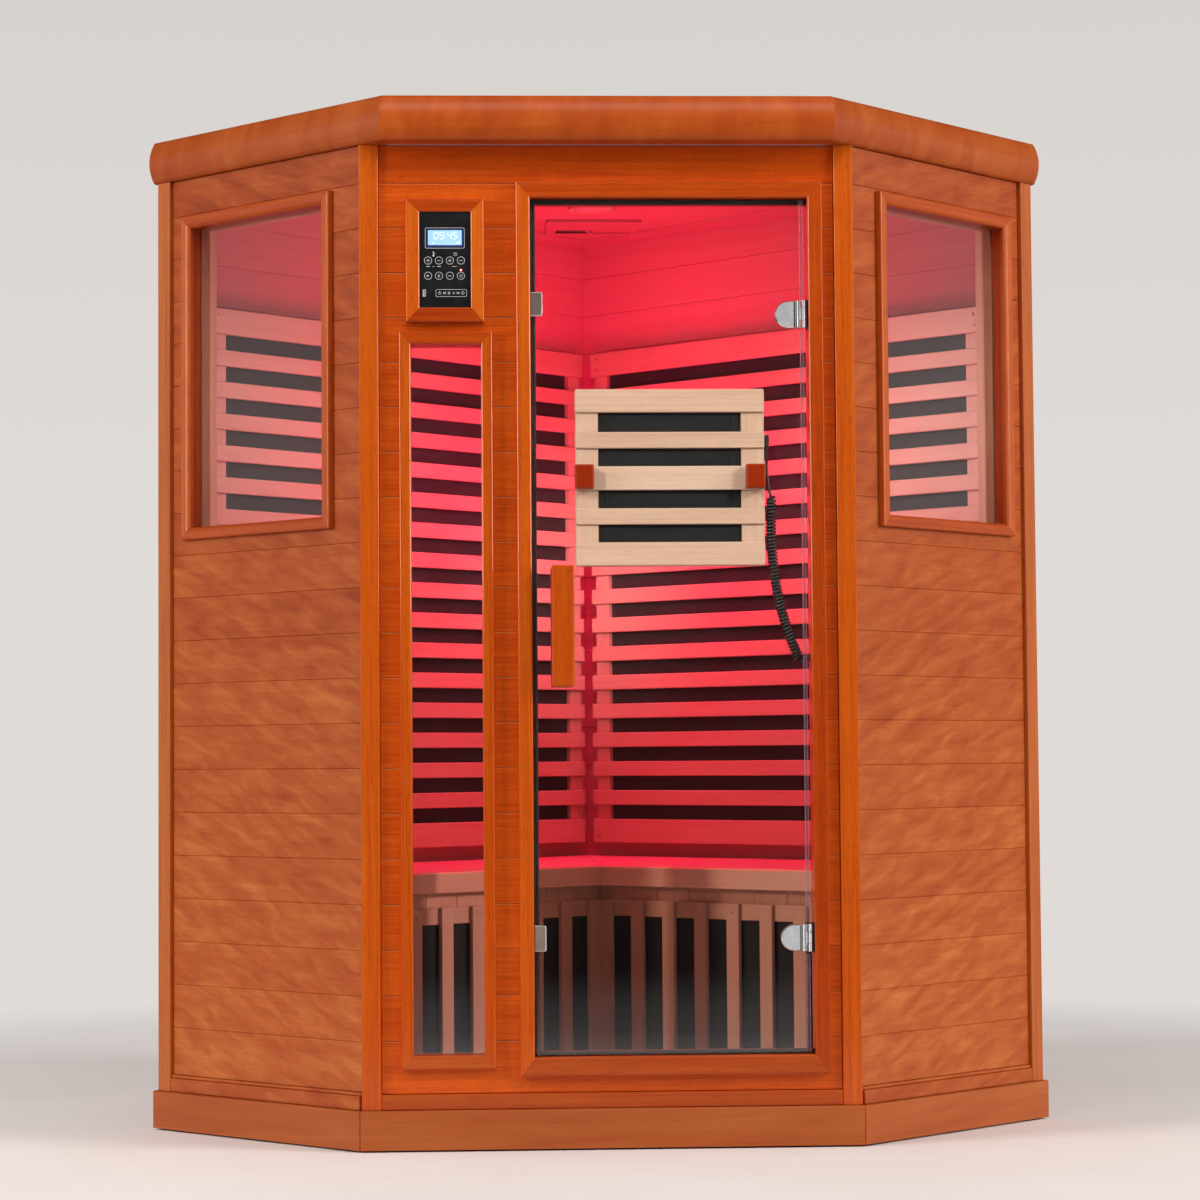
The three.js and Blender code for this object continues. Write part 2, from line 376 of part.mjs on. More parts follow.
// ---------------------------------------------------------------- door
{
  let pane = box(DOOR_GLASS.x0, DOOR_GLASS.x1, DOOR_GLASS.y0, DOOR_GLASS.y1, DOOR_GLASS.z0, DOOR_GLASS.z1);
  const hx = (HANDLE.x0 + HANDLE.x1) / 2;
  const bz = (BLOCKS.z0 + BLOCKS.z1) / 2;
  HANDLE_BOLTS.forEach((z) => { pane = pane.subtract(pinY(hx, z, 4.5, 0, 20, 16)); });
  [BLOCKS.left, BLOCKS.right].forEach(([a, b]) => { pane = pane.subtract(pinY((a + b) / 2, bz, 5, 0, 20, 16)); });
  Object.values(HINGES).forEach(([a, b]) => { pane = pane.subtract(pinY(326, (a + b) / 2, 6.5, 0, 20, 16)); });
  put(cabin, 'door_glass', pane, finish.glass());

  const y0 = DOOR_GLASS.y0 - GAP;
  const y1 = DOOR_GLASS.y1 + GAP;
  put(cabin, 'door_handle_outer', join(
    box(HANDLE.x0, HANDLE.x1, -34, -12, HANDLE.z0, HANDLE.z1),
    ...HANDLE_BOLTS.flatMap((z) => [pinY(hx, z, 9, -13, y0), pinY(hx, z, 4, 5, DOOR_GLASS.y1 - 0.1, 16)])), finish.stained());
  put(cabin, 'door_handle_inner', join(
    box(HANDLE.x0, HANDLE.x1, 32, 52, HANDLE.z0, HANDLE.z1),
    ...HANDLE_BOLTS.map((z) => pinY(hx, z, 9, y1, 33))), finish.stained());

  [['left', BLOCKS.left], ['right', BLOCKS.right]].forEach(([side, [a, b]]) => {
    put(cabin, `heater_block_${side}`, join(
      box(a, b, -14, y0, BLOCKS.z0, BLOCKS.z1), pinY((a + b) / 2, bz, 4.5, 5, 15.6, 16)), finish.stained());
  });

  // Door heater: full rails at top and bottom, thinner slats on both faces between the stiles.
  const parts = [
    box(HEATER.x0, HEATER.x0 + HEATER.stile, 21, 41, 1050, 1363),
    box(HEATER.x1 - HEATER.stile, HEATER.x1, 21, 41, 1050, 1363),
  ];
  HEATER_BANDS.forEach(([a, b], k) => {
    if (k === 0 || k === HEATER_BANDS.length - 1) {
      parts.push(box(HEATER.x0, HEATER.x1, 16, 46, a, b));
    } else {
      parts.push(box(HEATER.x0, HEATER.x1, 16, 22, a, b), box(HEATER.x0, HEATER.x1, 40, 46, a, b));
    }
  });
  put(cabin, 'door_heater_frame', join(...parts), finish.hemlock());
  put(cabin, 'door_heater_panel', box(HEATER.x0 + HEATER.stile + GAP, HEATER.x1 - HEATER.stile - GAP, 28, 31,
    HEATER_BANDS[4][1] + GAP, HEATER_BANDS[0][0] - GAP), finish.carbon());

  Object.entries(HINGES).forEach(([which, [a, b]]) => {
    const k0 = a + 14.5;
    const k1 = b - 14.5;
    const zc = (a + b) / 2;
    put(cabin, `hinge_frame_leaf_${which}`, join(
      box(362.3, DOOR_CLEAR.x1 - GAP, -3, 14, a, b),
      pinZ(HINGE_X, HINGE_Y, HINGE_KNUCKLE_R, a, k0 - 0.3), pinZ(HINGE_X, HINGE_Y, HINGE_KNUCKLE_R, k1 + 0.3, b),
      box(HINGE_X, 363, -1, 3, a, k0 - 0.3), box(HINGE_X, 363, -1, 3, k1 + 0.3, b),
      pinZ(HINGE_X, HINGE_Y, HINGE_PIN_R, a + 1, b - 1)), finish.steel());
    const r = (b - a) / 2 - 1.2;
    const plate = new THREE.Shape();
    plate.moveTo(348, zc - r);
    plate.lineTo(348, zc + r);
    plate.lineTo(305 + r, zc + r);
    plate.absarc(305 + r, zc, r, Math.PI / 2, (3 * Math.PI) / 2, false);
    plate.lineTo(348, zc - r);
    put(cabin, `hinge_door_leaf_${which}`, cut(join(
      facePrism(plate, 3, y0),
      facePrism(plate, y1, 18),
      pinY(326, zc, 6, 4, 17, 16),
      box(345, HINGE_X - 2, 2, 5.5, k0, k1),
      pinZ(HINGE_X, HINGE_Y, HINGE_KNUCKLE_R, k0, k1)), pinZ(HINGE_X, HINGE_Y, HINGE_PIN_R + 0.35, k0 - 5, k1 + 5)), finish.steel());
  });

  Object.entries(CATCHES).forEach(([which, [a, b]]) => {
    put(cabin, `catch_plate_${which}`, join(
      box(-138.6, -117.5, 5.2, y0, a, b),
      box(-138.6, DOOR_GLASS.x0 - GAP, 5.2, 16, a, b),
      box(-138.6, -117.5, y1, 16, a, b)), finish.steel());
  });

  put(cabin, 'cord_strain_relief', join(
    box(HEATER.x1 + GAP, 288, 27, 35, 1265, 1283),
    solid(new THREE.LatheGeometry([[0, 1232], [2.6, 1232], [3.4, 1264], [4.4, 1265], [4.4, 1284], [0, 1284]].map(([r, z]) => new THREE.Vector2(r, z)), 16)
      .rotateX(Math.PI / 2).translate(287, 31, 0))), finish.rubber());
  put(cabin, 'heater_cord', join(
    tube(CORD_TOP, CORD_D, 8, 10), tube(COIL, COIL_D, 10, 16), tube(CORD_END, CORD_D, 8, 8)), finish.rubber());
}

export default cabin;
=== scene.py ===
# Corner infrared sauna cabin: stained timber shell, glass door on a hinge, red lit inside.
# Lengths below are millimetres from the middle of the front wall's outer face at floor level;
# Place.at() turns them into metres in the row frame, whose origin is under the middle of the cabin.

import math
import json

import bpy
import bmesh
from mathutils import Vector, Matrix
from mathutils.geometry import tessellate_polygon

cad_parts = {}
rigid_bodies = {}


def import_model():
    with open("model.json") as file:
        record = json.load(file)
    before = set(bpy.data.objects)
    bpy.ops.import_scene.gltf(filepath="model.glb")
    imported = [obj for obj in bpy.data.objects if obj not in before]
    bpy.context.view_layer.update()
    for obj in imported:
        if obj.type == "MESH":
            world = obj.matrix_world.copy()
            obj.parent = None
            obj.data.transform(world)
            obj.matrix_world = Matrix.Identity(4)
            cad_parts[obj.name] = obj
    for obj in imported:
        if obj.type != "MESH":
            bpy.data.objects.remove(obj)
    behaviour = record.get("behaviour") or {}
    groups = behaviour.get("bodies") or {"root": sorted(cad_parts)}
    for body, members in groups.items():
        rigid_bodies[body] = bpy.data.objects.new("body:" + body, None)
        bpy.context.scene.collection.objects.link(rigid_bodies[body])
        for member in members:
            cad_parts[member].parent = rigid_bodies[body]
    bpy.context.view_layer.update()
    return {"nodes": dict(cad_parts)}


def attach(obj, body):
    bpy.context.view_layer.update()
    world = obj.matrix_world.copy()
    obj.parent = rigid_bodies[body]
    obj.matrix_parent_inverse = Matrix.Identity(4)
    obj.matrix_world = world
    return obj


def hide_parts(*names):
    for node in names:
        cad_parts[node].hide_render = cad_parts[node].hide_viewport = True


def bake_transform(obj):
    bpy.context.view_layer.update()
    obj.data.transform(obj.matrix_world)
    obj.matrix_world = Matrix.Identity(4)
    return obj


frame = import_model()

# ------------------------------------------------------------------ driving dimensions
R2 = math.sqrt(2.0)
SIDE, FRONT_W, WALL_T, RECESS, POST_W = 1200.0, 900.0, 50.0, 8.0, 36.0
HALF = SIDE / R2
WING = (HALF - FRONT_W / 2) * R2
BACK_Y = 2 * HALF - FRONT_W / 2
BASE_H, WALL_TOP, TOTAL_H = 73.4, 1811.0, 1892.0
Z0, Z1 = BASE_H + 0.3, WALL_TOP - 0.3
ORIGIN_Y = 600.0
END = SIDE - WALL_T - 0.3
MITRE = math.tan(math.pi / 8)

ROOF_FRONT_OUT, ROOF_WING_OUT, ROOF_BACK_OUT, ROOF_BULGE, ROOF_MOULD_T = 46.0, 1.6, 8.0, 13.12, 38.0

DOOR_CASING = (-165.0, 391.5, 131.0, 1743.5)
DOOR_CLEAR = (-139.5, 365.0, 165.0, 1714.0)
NARROW_OUT = (-377.0, -209.0, 145.0, 1470.0)
NARROW_IN = (-356.0, -229.0, 170.0, 1447.0)
SIDE_OUT = (76.0, 492.0, 1119.0, 1737.0)
SIDE_IN = (99.0, 467.0, 1141.0, 1714.0)
CTRL_OUT = (-364.0, -223.0, 1487.0, 1711.0)
CTRL_IN = (-339.3, -246.7, 1513.7, 1687.3)

# Board joints of the cladding, from the bottom rail up.
ROWS = [101.3] + [1741.4 - 81.4 * k for k in range(19, -1, -1)] + [1810.4]


class Place:
    """A wall's own axes: x along it, y into the cabin, z up. With flip, x runs back from that length."""

    def __init__(self, x, y, degrees, flip=None):
        a = math.radians(degrees)
        self.o, self.c, self.s, self.flip = (x, y), math.cos(a), math.sin(a), flip

    def at(self, x, y, z):
        if self.flip is not None:
            x = self.flip - x
        return (
            (self.o[0] + self.c * x - self.s * y) / 1000.0,
            (self.o[1] + self.s * x + self.c * y - ORIGIN_Y) / 1000.0,
            z / 1000.0,
        )


CAB = Place(0, 0, 0)
WL = Place(-HALF, HALF - FRONT_W / 2, -45, flip=WING)   # x from the front corner
WR = Place(FRONT_W / 2, 0, 45)                          # x from the front corner
BL = Place(0, BACK_Y, 225)                              # x from the back corner
BR = Place(HALF, HALF - FRONT_W / 2, 135, flip=SIDE)    # x from the back corner


def side_place(p, q):
    return Place(p[0], p[1], math.degrees(math.atan2(q[1] - p[1], q[0] - p[0])))


def outline(front, wing, back):
    a = FRONT_W / 2 + wing * R2
    b = BACK_Y + back * R2
    return [(-a + front, -front), (a - front, -front), ((a + b) / 2, (b - a) / 2), (0.0, b), (-(a + b) / 2, (b - a) / 2)]


def hash01(k, salt=0.0):
    v = math.sin(k * 12.9898 + salt * 78.233 + 0.37) * 43758.5453
    return v - math.floor(v)


# ------------------------------------------------------------------ polygon helpers
def inset(poly, e):
    """Polygon moved inwards by e on every side; poly runs anticlockwise."""
    n, out = len(poly), []
    for i in range(n):
        p0, p1, p2 = Vector(poly[i - 1]), Vector(poly[i]), Vector(poly[(i + 1) % n])
        d1, d2 = (p1 - p0).normalized(), (p2 - p1).normalized()
        n1, n2 = Vector((-d1.y, d1.x)), Vector((-d2.y, d2.x))
        den = 1.0 + n1.dot(n2)
        a = (n1 + n2) * (e / den) if den > 1e-4 else n1 * e
        q = p1 + a
        out.append((q.x, q.y))
    return out


def eased(poly, r, seg=3):
    """Polygon with its outward corners rounded; poly runs anticlockwise."""
    n, out = len(poly), []
    for i in range(n):
        p0, p1, p2 = Vector(poly[i - 1]), Vector(poly[i]), Vector(poly[(i + 1) % n])
        d1, d2 = (p1 - p0).normalized(), (p2 - p1).normalized()
        turn = math.atan2(d1.x * d2.y - d1.y * d2.x, d1.dot(d2))
        rr = r[i] if isinstance(r, (list, tuple)) else r
        if turn < 0.05 or rr <= 0:
            out.append((p1.x, p1.y))
            continue
        t = rr * math.tan(turn / 2)
        t = min(t, 0.45 * (p1 - p0).length, 0.45 * (p2 - p1).length)
        rr = t / math.tan(turn / 2)
        s = p1 - d1 * t
        c = s + Vector((-d1.y, d1.x)) * rr
        v = s - c
        for k in range(seg + 1):
            a = turn * k / seg
            out.append((c.x + v.x * math.cos(a) - v.y * math.sin(a), c.y + v.x * math.sin(a) + v.y * math.cos(a)))
    return out


def rect(x0, x1, y0, y1):
    return [(x0, y0), (x1, y0), (x1, y1), (x0, y1)]


def clip(poly, fence):
    """poly cut to the convex polygon fence; both run anticlockwise."""
    out = list(poly)
    n = len(fence)
    for i in range(n):
        a, b = fence[i], fence[(i + 1) % n]
        src, out = out, []
        if not src:
            return []

        def inside(p):
            return (b[0] - a[0]) * (p[1] - a[1]) - (b[1] - a[1]) * (p[0] - a[0]) >= -1e-9

        def cross(p, q):
            dx, dy = q[0] - p[0], q[1] - p[1]
            ex, ey = b[0] - a[0], b[1] - a[1]
            t = ((a[0] - p[0]) * ey - (a[1] - p[1]) * ex) / (dx * ey - dy * ex)
            return (p[0] + t * dx, p[1] + t * dy)

        for j in range(len(src)):
            p, q = src[j - 1], src[j]
            if inside(q):
                if not inside(p):
                    out.append(cross(p, q))
                out.append(q)
            elif inside(p):
                out.append(cross(p, q))
    return out


def circle(cx, cy, r, n=32):
    return [(cx + r * math.cos(2 * math.pi * k / n), cy + r * math.sin(2 * math.pi * k / n)) for k in range(n)]


# ------------------------------------------------------------------ mesh work
PICK = {
    "x": lambda x, y, z: (x, z, y),
    "y": lambda x, y, z: (y, x, z),
    "z": lambda x, y, z: (z, x, y),
}
_count = [0]


class Work:
    """Gathers closed bodies into one mesh, with the grain's own coordinates kept on every vertex."""

    def __init__(self, name, material, body="cabin", slot=None, replaces=()):
        self.name, self.body, self.slot, self.nodes = name, body, slot, replaces
        self.mats = [material]
        self.v, self.g, self.q, self.t, self.f, self.m, self.s = [], [], [], [], [], [], []

    def mat(self, m):
        if m is None:
            return 0
        if m not in self.mats:
            self.mats.append(m)
        return self.mats.index(m)

    def begin(self, place, grain="x", tone=0.0, painted_light_slope=0.0):
        _count[0] += 1
        self.painted_light_slope = painted_light_slope
        k = _count[0]
        self.place, self.grain = place, PICK[grain]
        self.shift = (hash01(k, 1) * 9.0, hash01(k, 2) * 3.0, hash01(k, 3) * 3.0)
        self.tone = tone + 0.16 * (hash01(k, 4) - 0.5)
        self.jog = (0.05 * (hash01(k, 5) - 0.5), 0.012 * (hash01(k, 6) - 0.5))

    def point(self, x, y, z):
        self.v.append(self.place.at(x, y, z))
        a, b, c = self.grain(x, y, z)
        self.g.append((a / 1000.0 + self.shift[0], b / 1000.0 + self.shift[1], c / 1000.0 + self.shift[2]))
        self.q.append((x / 1000.0 + self.jog[0], z / 1000.0 + self.jog[1], y / 1000.0 + self.place.o[0] / 700.0))
        # The tone also shifts with height by the slope: painted light, lighter up the posts and casing uprights and
        # darker towards their feet.
        self.t.append(self.tone + self.painted_light_slope * (z - 900.0) / 900.0)
        return len(self.v) - 1

    def face(self, ids, m=0, smooth=False):
        self.f.append(tuple(ids))
        self.m.append(m)
        self.s.append(smooth)

    # ---- rings of equal length joined into a closed body
    def loft(self, rings, m=0, smooth=False, caps=True, cap_smooth=False, skip_smooth=()):
        ids = [[self.point(*p) for p in ring] for ring in rings]
        n = len(ids[0])
        for j, (a, b) in enumerate(zip(ids, ids[1:])):
            for k in range(n):
                self.face((a[k], a[(k + 1) % n], b[(k + 1) % n], b[k]), m, smooth and j not in skip_smooth)
        if caps:
            self.face(list(reversed(ids[0])), m, cap_smooth)
            self.face(ids[-1], m, cap_smooth)
        return ids

    def prism(self, place, poly, axis, a0, a1, e0=0.0, e1=0.0, grain="x", tone=0.0, mat=None, smooth=False, painted_light_slope=0.0, rim=None, up_only=False):
        self.begin(place, grain, tone, painted_light_slope)
        first = len(self.f)
        put = {"x": lambda p, a: (a, p[0], p[1]), "y": lambda p, a: (p[0], a, p[1]), "z": lambda p, a: (p[0], p[1], a)}[axis]
        rings = []
        if e0 > 0:
            rings.append([put(p, a0) for p in inset(poly, e0)])
            rings.append([put(p, a0 + e0) for p in poly])
        else:
            rings.append([put(p, a0) for p in poly])
        if e1 > 0:
            rings.append([put(p, a1 - e1) for p in poly])
            rings.append([put(p, a1) for p in inset(poly, e1)])
        else:
            rings.append([put(p, a1) for p in poly])
        self.loft(rings, self.mat(mat), smooth)
        # rim gives the eased faces at the a0 end their own material, used to paint highlights on arrises and bevels.
        if rim is not None and e0 > 0:
            top = max(p[1] for p in poly) - 0.5
            for k, (p, q) in enumerate(zip(poly, poly[1:] + poly[:1])):
                if not up_only or (p[1] > top and q[1] > top):
                    self.m[first + k] = self.mat(rim)

    def board(self, place, x, y, z, r=1.5, grain="x", tone=0.0, seg=3, mat=None, end=None):
        """A board with eased arrises, its length along the grain."""
        end = min(r, 1.2) * 0.8 if end is None else end
        if grain == "x":
            self.prism(place, eased(rect(y[0], y[1], z[0], z[1]), r, seg), "x", x[0], x[1], end, end, grain, tone, mat)
        elif grain == "z":
            self.prism(place, eased(rect(x[0], x[1], y[0], y[1]), r, seg), "z", z[0], z[1], end, end, grain, tone, mat)
        else:
            self.prism(place, eased(rect(x[0], x[1], z[0], z[1]), r, seg), "y", y[0], y[1], end, end, grain, tone, mat)

    def lathe(self, place, at, axis, profile, seg=28, mat=None, smooth=True, tone=0.0, flat=()):
        """profile is (radius, place along the axis), from one end of the axis to the other."""
        self.begin(place, axis, tone)
        m = self.mat(mat)
        rings = []
        for r, a in profile:
            ring = []
            for k in range(seg):
                c, s = r * math.cos(2 * math.pi * k / seg), r * math.sin(2 * math.pi * k / seg)
                if axis == "z":
                    ring.append((at[0] + c, at[1] + s, a))
                elif axis == "y":
                    ring.append((at[0] + c, a, at[1] + s))
                else:
                    ring.append((a, at[0] + c, at[1] + s))
            rings.append(ring)
        self.loft(rings, m, smooth, skip_smooth=flat)

    def tube(self, place, pts, r, sides=10, mat=None, tone=0.0):
        self.begin(place, "z", tone)
        m = self.mat(mat)
        n = len(pts)
        vs = [Vector(p) for p in pts]
        rads = r if isinstance(r, (list, tuple)) else [r] * n
        t0 = (vs[1] - vs[0]).normalized()
        u = t0.orthogonal().normalized()
        rings, was = [], t0
        for i in range(n):
            t = (vs[min(i + 1, n - 1)] - vs[max(i - 1, 0)]).normalized()
            u = was.rotation_difference(t) @ u
            u = (u - t * u.dot(t)).normalized()
            w = t.cross(u)
            was = t
            rings.append([tuple(vs[i] + (u * math.cos(2 * math.pi * k / sides) + w * math.sin(2 * math.pi * k / sides)) * rads[i]) for k in range(sides)])
        self.loft(rings, m, True)

    def picture_frame(self, place, o, i, prof, sheen_tones=(-0.2, 0.35, -0.2, 0.35), mats=(None, None, None, None), gap=0.12, painted_light_slope=0.0):
        """Four lengths mitred round a rectangle: bottom, right, top, left. prof is (share of the width from the outer
        edge, y). Each length takes its own tone, the uprights mostly lighter: painted sheen. The slope on the uprights
        paints light falling off towards their feet.
        """
        ox0, ox1, oz0, oz1 = o
        ix0, ix1, iz0, iz1 = i
        for side in range(4):
            grain = "x" if side % 2 == 0 else "z"
            m = self.mat(mats[side])
            self.begin(place, grain, sheen_tones[side], painted_light_slope if side % 2 else 0.0)
            a, b = [], []
            for s, d in prof:
                xa, xb = ox0 + s * (ix0 - ox0), ox1 + s * (ix1 - ox1)
                za, zb = oz0 + s * (iz0 - oz0), oz1 + s * (iz1 - oz1)
                if side == 0:
                    a.append((xa + gap, d, za)); b.append((xb - gap, d, za))
                elif side == 1:
                    a.append((xb, d, za + gap)); b.append((xb, d, zb - gap))
                elif side == 2:
                    a.append((xb - gap, d, zb)); b.append((xa + gap, d, zb))
                else:
                    a.append((xa, d, zb - gap)); b.append((xa, d, za + gap))
            self.loft([a, b], m)

    def plate(self, place, outer, holes, a0, a1, axis="z", grain="x", tone=0.0, mat=None):
        """A flat plate with holes through it."""
        self.begin(place, grain, tone)
        m = self.mat(mat)
        put = {"z": lambda p, a: (p[0], p[1], a), "y": lambda p, a: (p[0], a, p[1])}[axis]
        loops = [outer] + [list(reversed(h)) for h in holes]
        low = [[self.point(*put(p, a0)) for p in loop] for loop in loops]
        high = [[self.point(*put(p, a1)) for p in loop] for loop in loops]
        flat_low = [k for loop in low for k in loop]
        flat_high = [k for loop in high for k in loop]
        for tri in tessellate_polygon([[Vector((p[0], p[1], 0)) for p in loop] for loop in loops]):
            self.face([flat_low[k] for k in tri], m)
            self.face([flat_high[k] for k in reversed(tri)], m)
        for lo, hi in zip(low, high):
            n = len(lo)
            for k in range(n):
                self.face((lo[k], lo[(k + 1) % n], hi[(k + 1) % n], hi[k]), m)

    def done(self):
        me = bpy.data.meshes.new(self.name)
        me.from_pydata(self.v, [], self.f)
        for mt in self.mats:
            me.materials.append(mt)
        me.polygons.foreach_set("material_index", self.m)
        me.polygons.foreach_set("use_smooth", self.s)
        at = me.attributes.new("gco", "FLOAT_VECTOR", "POINT")
        at.data.foreach_set("vector", [c for g in self.g for c in g])
        at = me.attributes.new("fco", "FLOAT_VECTOR", "POINT")
        at.data.foreach_set("vector", [c for q in self.q for c in q])
        at = me.attributes.new("tone", "FLOAT", "POINT")
        at.data.foreach_set("value", self.t)
        bm = bmesh.new()
        bm.from_mesh(me)
        bmesh.ops.recalc_face_normals(bm, faces=bm.faces[:])
        bm.to_mesh(me)
        bm.free()
        me.update()
        ob = bpy.data.objects.new(self.name, me)
        bpy.context.scene.collection.objects.link(ob)
        if self.body:
            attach(ob, self.body)
        if self.nodes:
            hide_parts(*self.nodes)
        return ob


# ------------------------------------------------------------------ materials
class Nodes:
    def __init__(self, name):
        self.m = bpy.data.materials.new(name)
        self.m.use_nodes = True
        self.nt = self.m.node_tree
        self.nt.nodes.clear()
        self.out = self.nt.nodes.new("ShaderNodeOutputMaterial")
        self.p = self.nt.nodes.new("ShaderNodeBsdfPrincipled")
        self.nt.links.new(self.p.outputs[0], self.out.inputs["Surface"])

    def new(self, kind, **inputs):
        n = self.nt.nodes.new(kind)
        for k, v in inputs.items():
            self.set(n.inputs[k.replace("_", " ")], v)
        return n

    def set(self, socket, v):
        if hasattr(v, "is_output"):
            self.nt.links.new(v, socket)
        else:
            socket.default_value = v

    def math(self, op, a, b=0.0, clamp=False):
        n = self.nt.nodes.new("ShaderNodeMath")
        n.operation = op
        n.use_clamp = clamp
        self.set(n.inputs[0], a)
        self.set(n.inputs[1], b)
        return n.outputs[0]

    def vec(self, op, a, b):
        n = self.nt.nodes.new("ShaderNodeVectorMath")
        n.operation = op
        self.set(n.inputs[0], a)
        self.set(n.inputs[1], b)
        return n.outputs[0]

    def attr(self, name, out="Vector"):
        n = self.nt.nodes.new("ShaderNodeAttribute")
        n.attribute_name = name
        return n.outputs[out]

    def noise(self, vector, scale=1.0, detail=2.0, rough=0.5, distortion=0.0):
        n = self.new("ShaderNodeTexNoise", Vector=vector, Scale=scale, Detail=detail, Roughness=rough, Distortion=distortion)
        return n.outputs[0]

    def ramp(self, fac, stops, interpolation="LINEAR"):
        n = self.nt.nodes.new("ShaderNodeValToRGB")
        n.color_ramp.interpolation = interpolation
        e = n.color_ramp.elements
        while len(e) < len(stops):
            e.new(0.5)
        for el, (pos, col) in zip(e, stops):
            el.position = pos
            el.color = (col[0], col[1], col[2], 1.0) if isinstance(col, (tuple, list)) else (col, col, col, 1.0)
        self.set(n.inputs[0], fac)
        return n.outputs[0]

    def mix(self, fac, a, b, blend="MIX"):
        n = self.nt.nodes.new("ShaderNodeMix")
        n.data_type = "RGBA"
        n.blend_type = blend
        self.set(n.inputs[0], fac)
        self.set(n.inputs[6], a)
        self.set(n.inputs[7], b)
        return n.outputs[2]

    def remap(self, v, a, b, c, d):
        n = self.new("ShaderNodeMapRange")
        for k, x in zip(range(5), (v, a, b, c, d)):
            self.set(n.inputs[k], x)
        return n.outputs[0]

    def bump(self, height, strength, distance, normal=None):
        n = self.new("ShaderNodeBump", Height=height, Strength=strength, Distance=distance)
        if normal is not None:
            self.set(n.inputs["Normal"], normal)
        return n.outputs[0]


def wood(name, stops, figure, fibre, bands, rough, coat, pores=0.25, fig_scale=(6.0, 20.0, 8.0), fig_turn=-0.55, band_scale=26.0, cloud=0.2, curl=0.0, lines=0.0, coat_rough=0.12, fig_bend=0.9):
    """Grain from the board's own coordinates: growth bands, fibre and pores along it, and a rippled figure across the wall."""
    n = Nodes(name)
    g = n.attr("gco")
    tone = n.attr("tone", "Fac")
    wobble = n.noise(n.vec("MULTIPLY", g, (2.2, 9.0, 9.0)), 1.0, 2.0, 0.5)
    band = n.noise(n.vec("MULTIPLY", g, (1.3, band_scale, band_scale)), 1.0, 3.0, 0.6, 0.6)
    fine = n.noise(n.vec("MULTIPLY", g, (7.0, 380.0, 380.0)), 1.0, 3.0, 0.65)
    wall = n.attr("fco")
    turn = n.new("ShaderNodeVectorRotate", Vector=wall, Angle=fig_turn)
    turn.rotation_type = "Z_AXIS"
    fig = n.noise(n.vec("MULTIPLY", turn.outputs[0], fig_scale), 1.0, 3.0, 0.5, fig_bend)
    total = n.math("MULTIPLY_ADD", n.math("SUBTRACT", band, 0.5), bands)
    total.node.inputs[2].default_value = 0.5
    parts = [(fine, fibre), (fig, figure), (wobble, cloud)]
    if curl:
        parts.append((n.noise(n.vec("MULTIPLY", wall, (190.0, 13.0, 8.0)), 1.0, 2.0, 0.6), curl))
    if lines:
        parts.append((n.noise(n.vec("MULTIPLY", g, (1.7, 165.0, 165.0)), 1.0, 2.0, 0.55), lines))
    for part, share in parts:
        a = n.math("MULTIPLY_ADD", n.math("SUBTRACT", part, 0.5), share)
        n.set(a.node.inputs[2], total)
        total = a
    a = n.math("MULTIPLY_ADD", tone, 0.55)
    n.set(a.node.inputs[2], total)
    total = a
    colour = n.ramp(total, stops)
    pore = n.noise(n.vec("MULTIPLY", g, (34.0, 820.0, 820.0)), 1.0, 1.0, 0.5)
    dark = n.ramp(pore, ((0.60, 0.0), (0.72, 1.0)))
    colour = n.mix(n.math("MULTIPLY", dark, pores), colour, n.mix(1.0, colour, (0.45, 0.38, 0.36, 1.0), "MULTIPLY"))
    n.set(n.p.inputs["Base Color"], colour)
    n.set(n.p.inputs["Roughness"], n.remap(fine, 0.3, 0.7, rough - 0.05, rough + 0.07))
    n.p.inputs["Specular IOR Level"].default_value = 0.15
    n.p.inputs["Coat Weight"].default_value = coat
    n.p.inputs["Coat Roughness"].default_value = coat_rough
    height = n.math("SUBTRACT", n.math("MULTIPLY", fine, 0.6), n.math("MULTIPLY", dark, 0.5))
    n.set(n.p.inputs["Normal"], n.bump(height, 0.18, 0.0004))
    return n.m


STAIN = ((0.05, (0.25, 0.019, 0.0010)), (0.34, (0.40, 0.040, 0.0018)), (0.58, (0.54, 0.069, 0.0030)), (0.82, (0.67, 0.112, 0.0050)), (1.0, (0.75, 0.150, 0.010)))
WINGS = ((0.05, (0.28, 0.038, 0.0065)), (0.34, (0.40, 0.069, 0.0125)), (0.58, (0.48, 0.105, 0.021)), (0.82, (0.58, 0.160, 0.036)), (1.0, (0.68, 0.22, 0.055)))
PLANK = tuple((a, (min(0.86, c[0] * 1.2), c[1] * 1.2, c[2] * 1.3)) for a, c in STAIN)
SKIRT = tuple((a, (c[0] * 0.98, c[1] * 1.12, c[2] * 1.35)) for a, c in WINGS)
PALE = ((0.05, (0.50, 0.30, 0.20)), (0.35, (0.62, 0.395, 0.275)), (0.6, (0.68, 0.45, 0.325)), (0.85, (0.74, 0.51, 0.385)), (1.0, (0.78, 0.56, 0.43)))

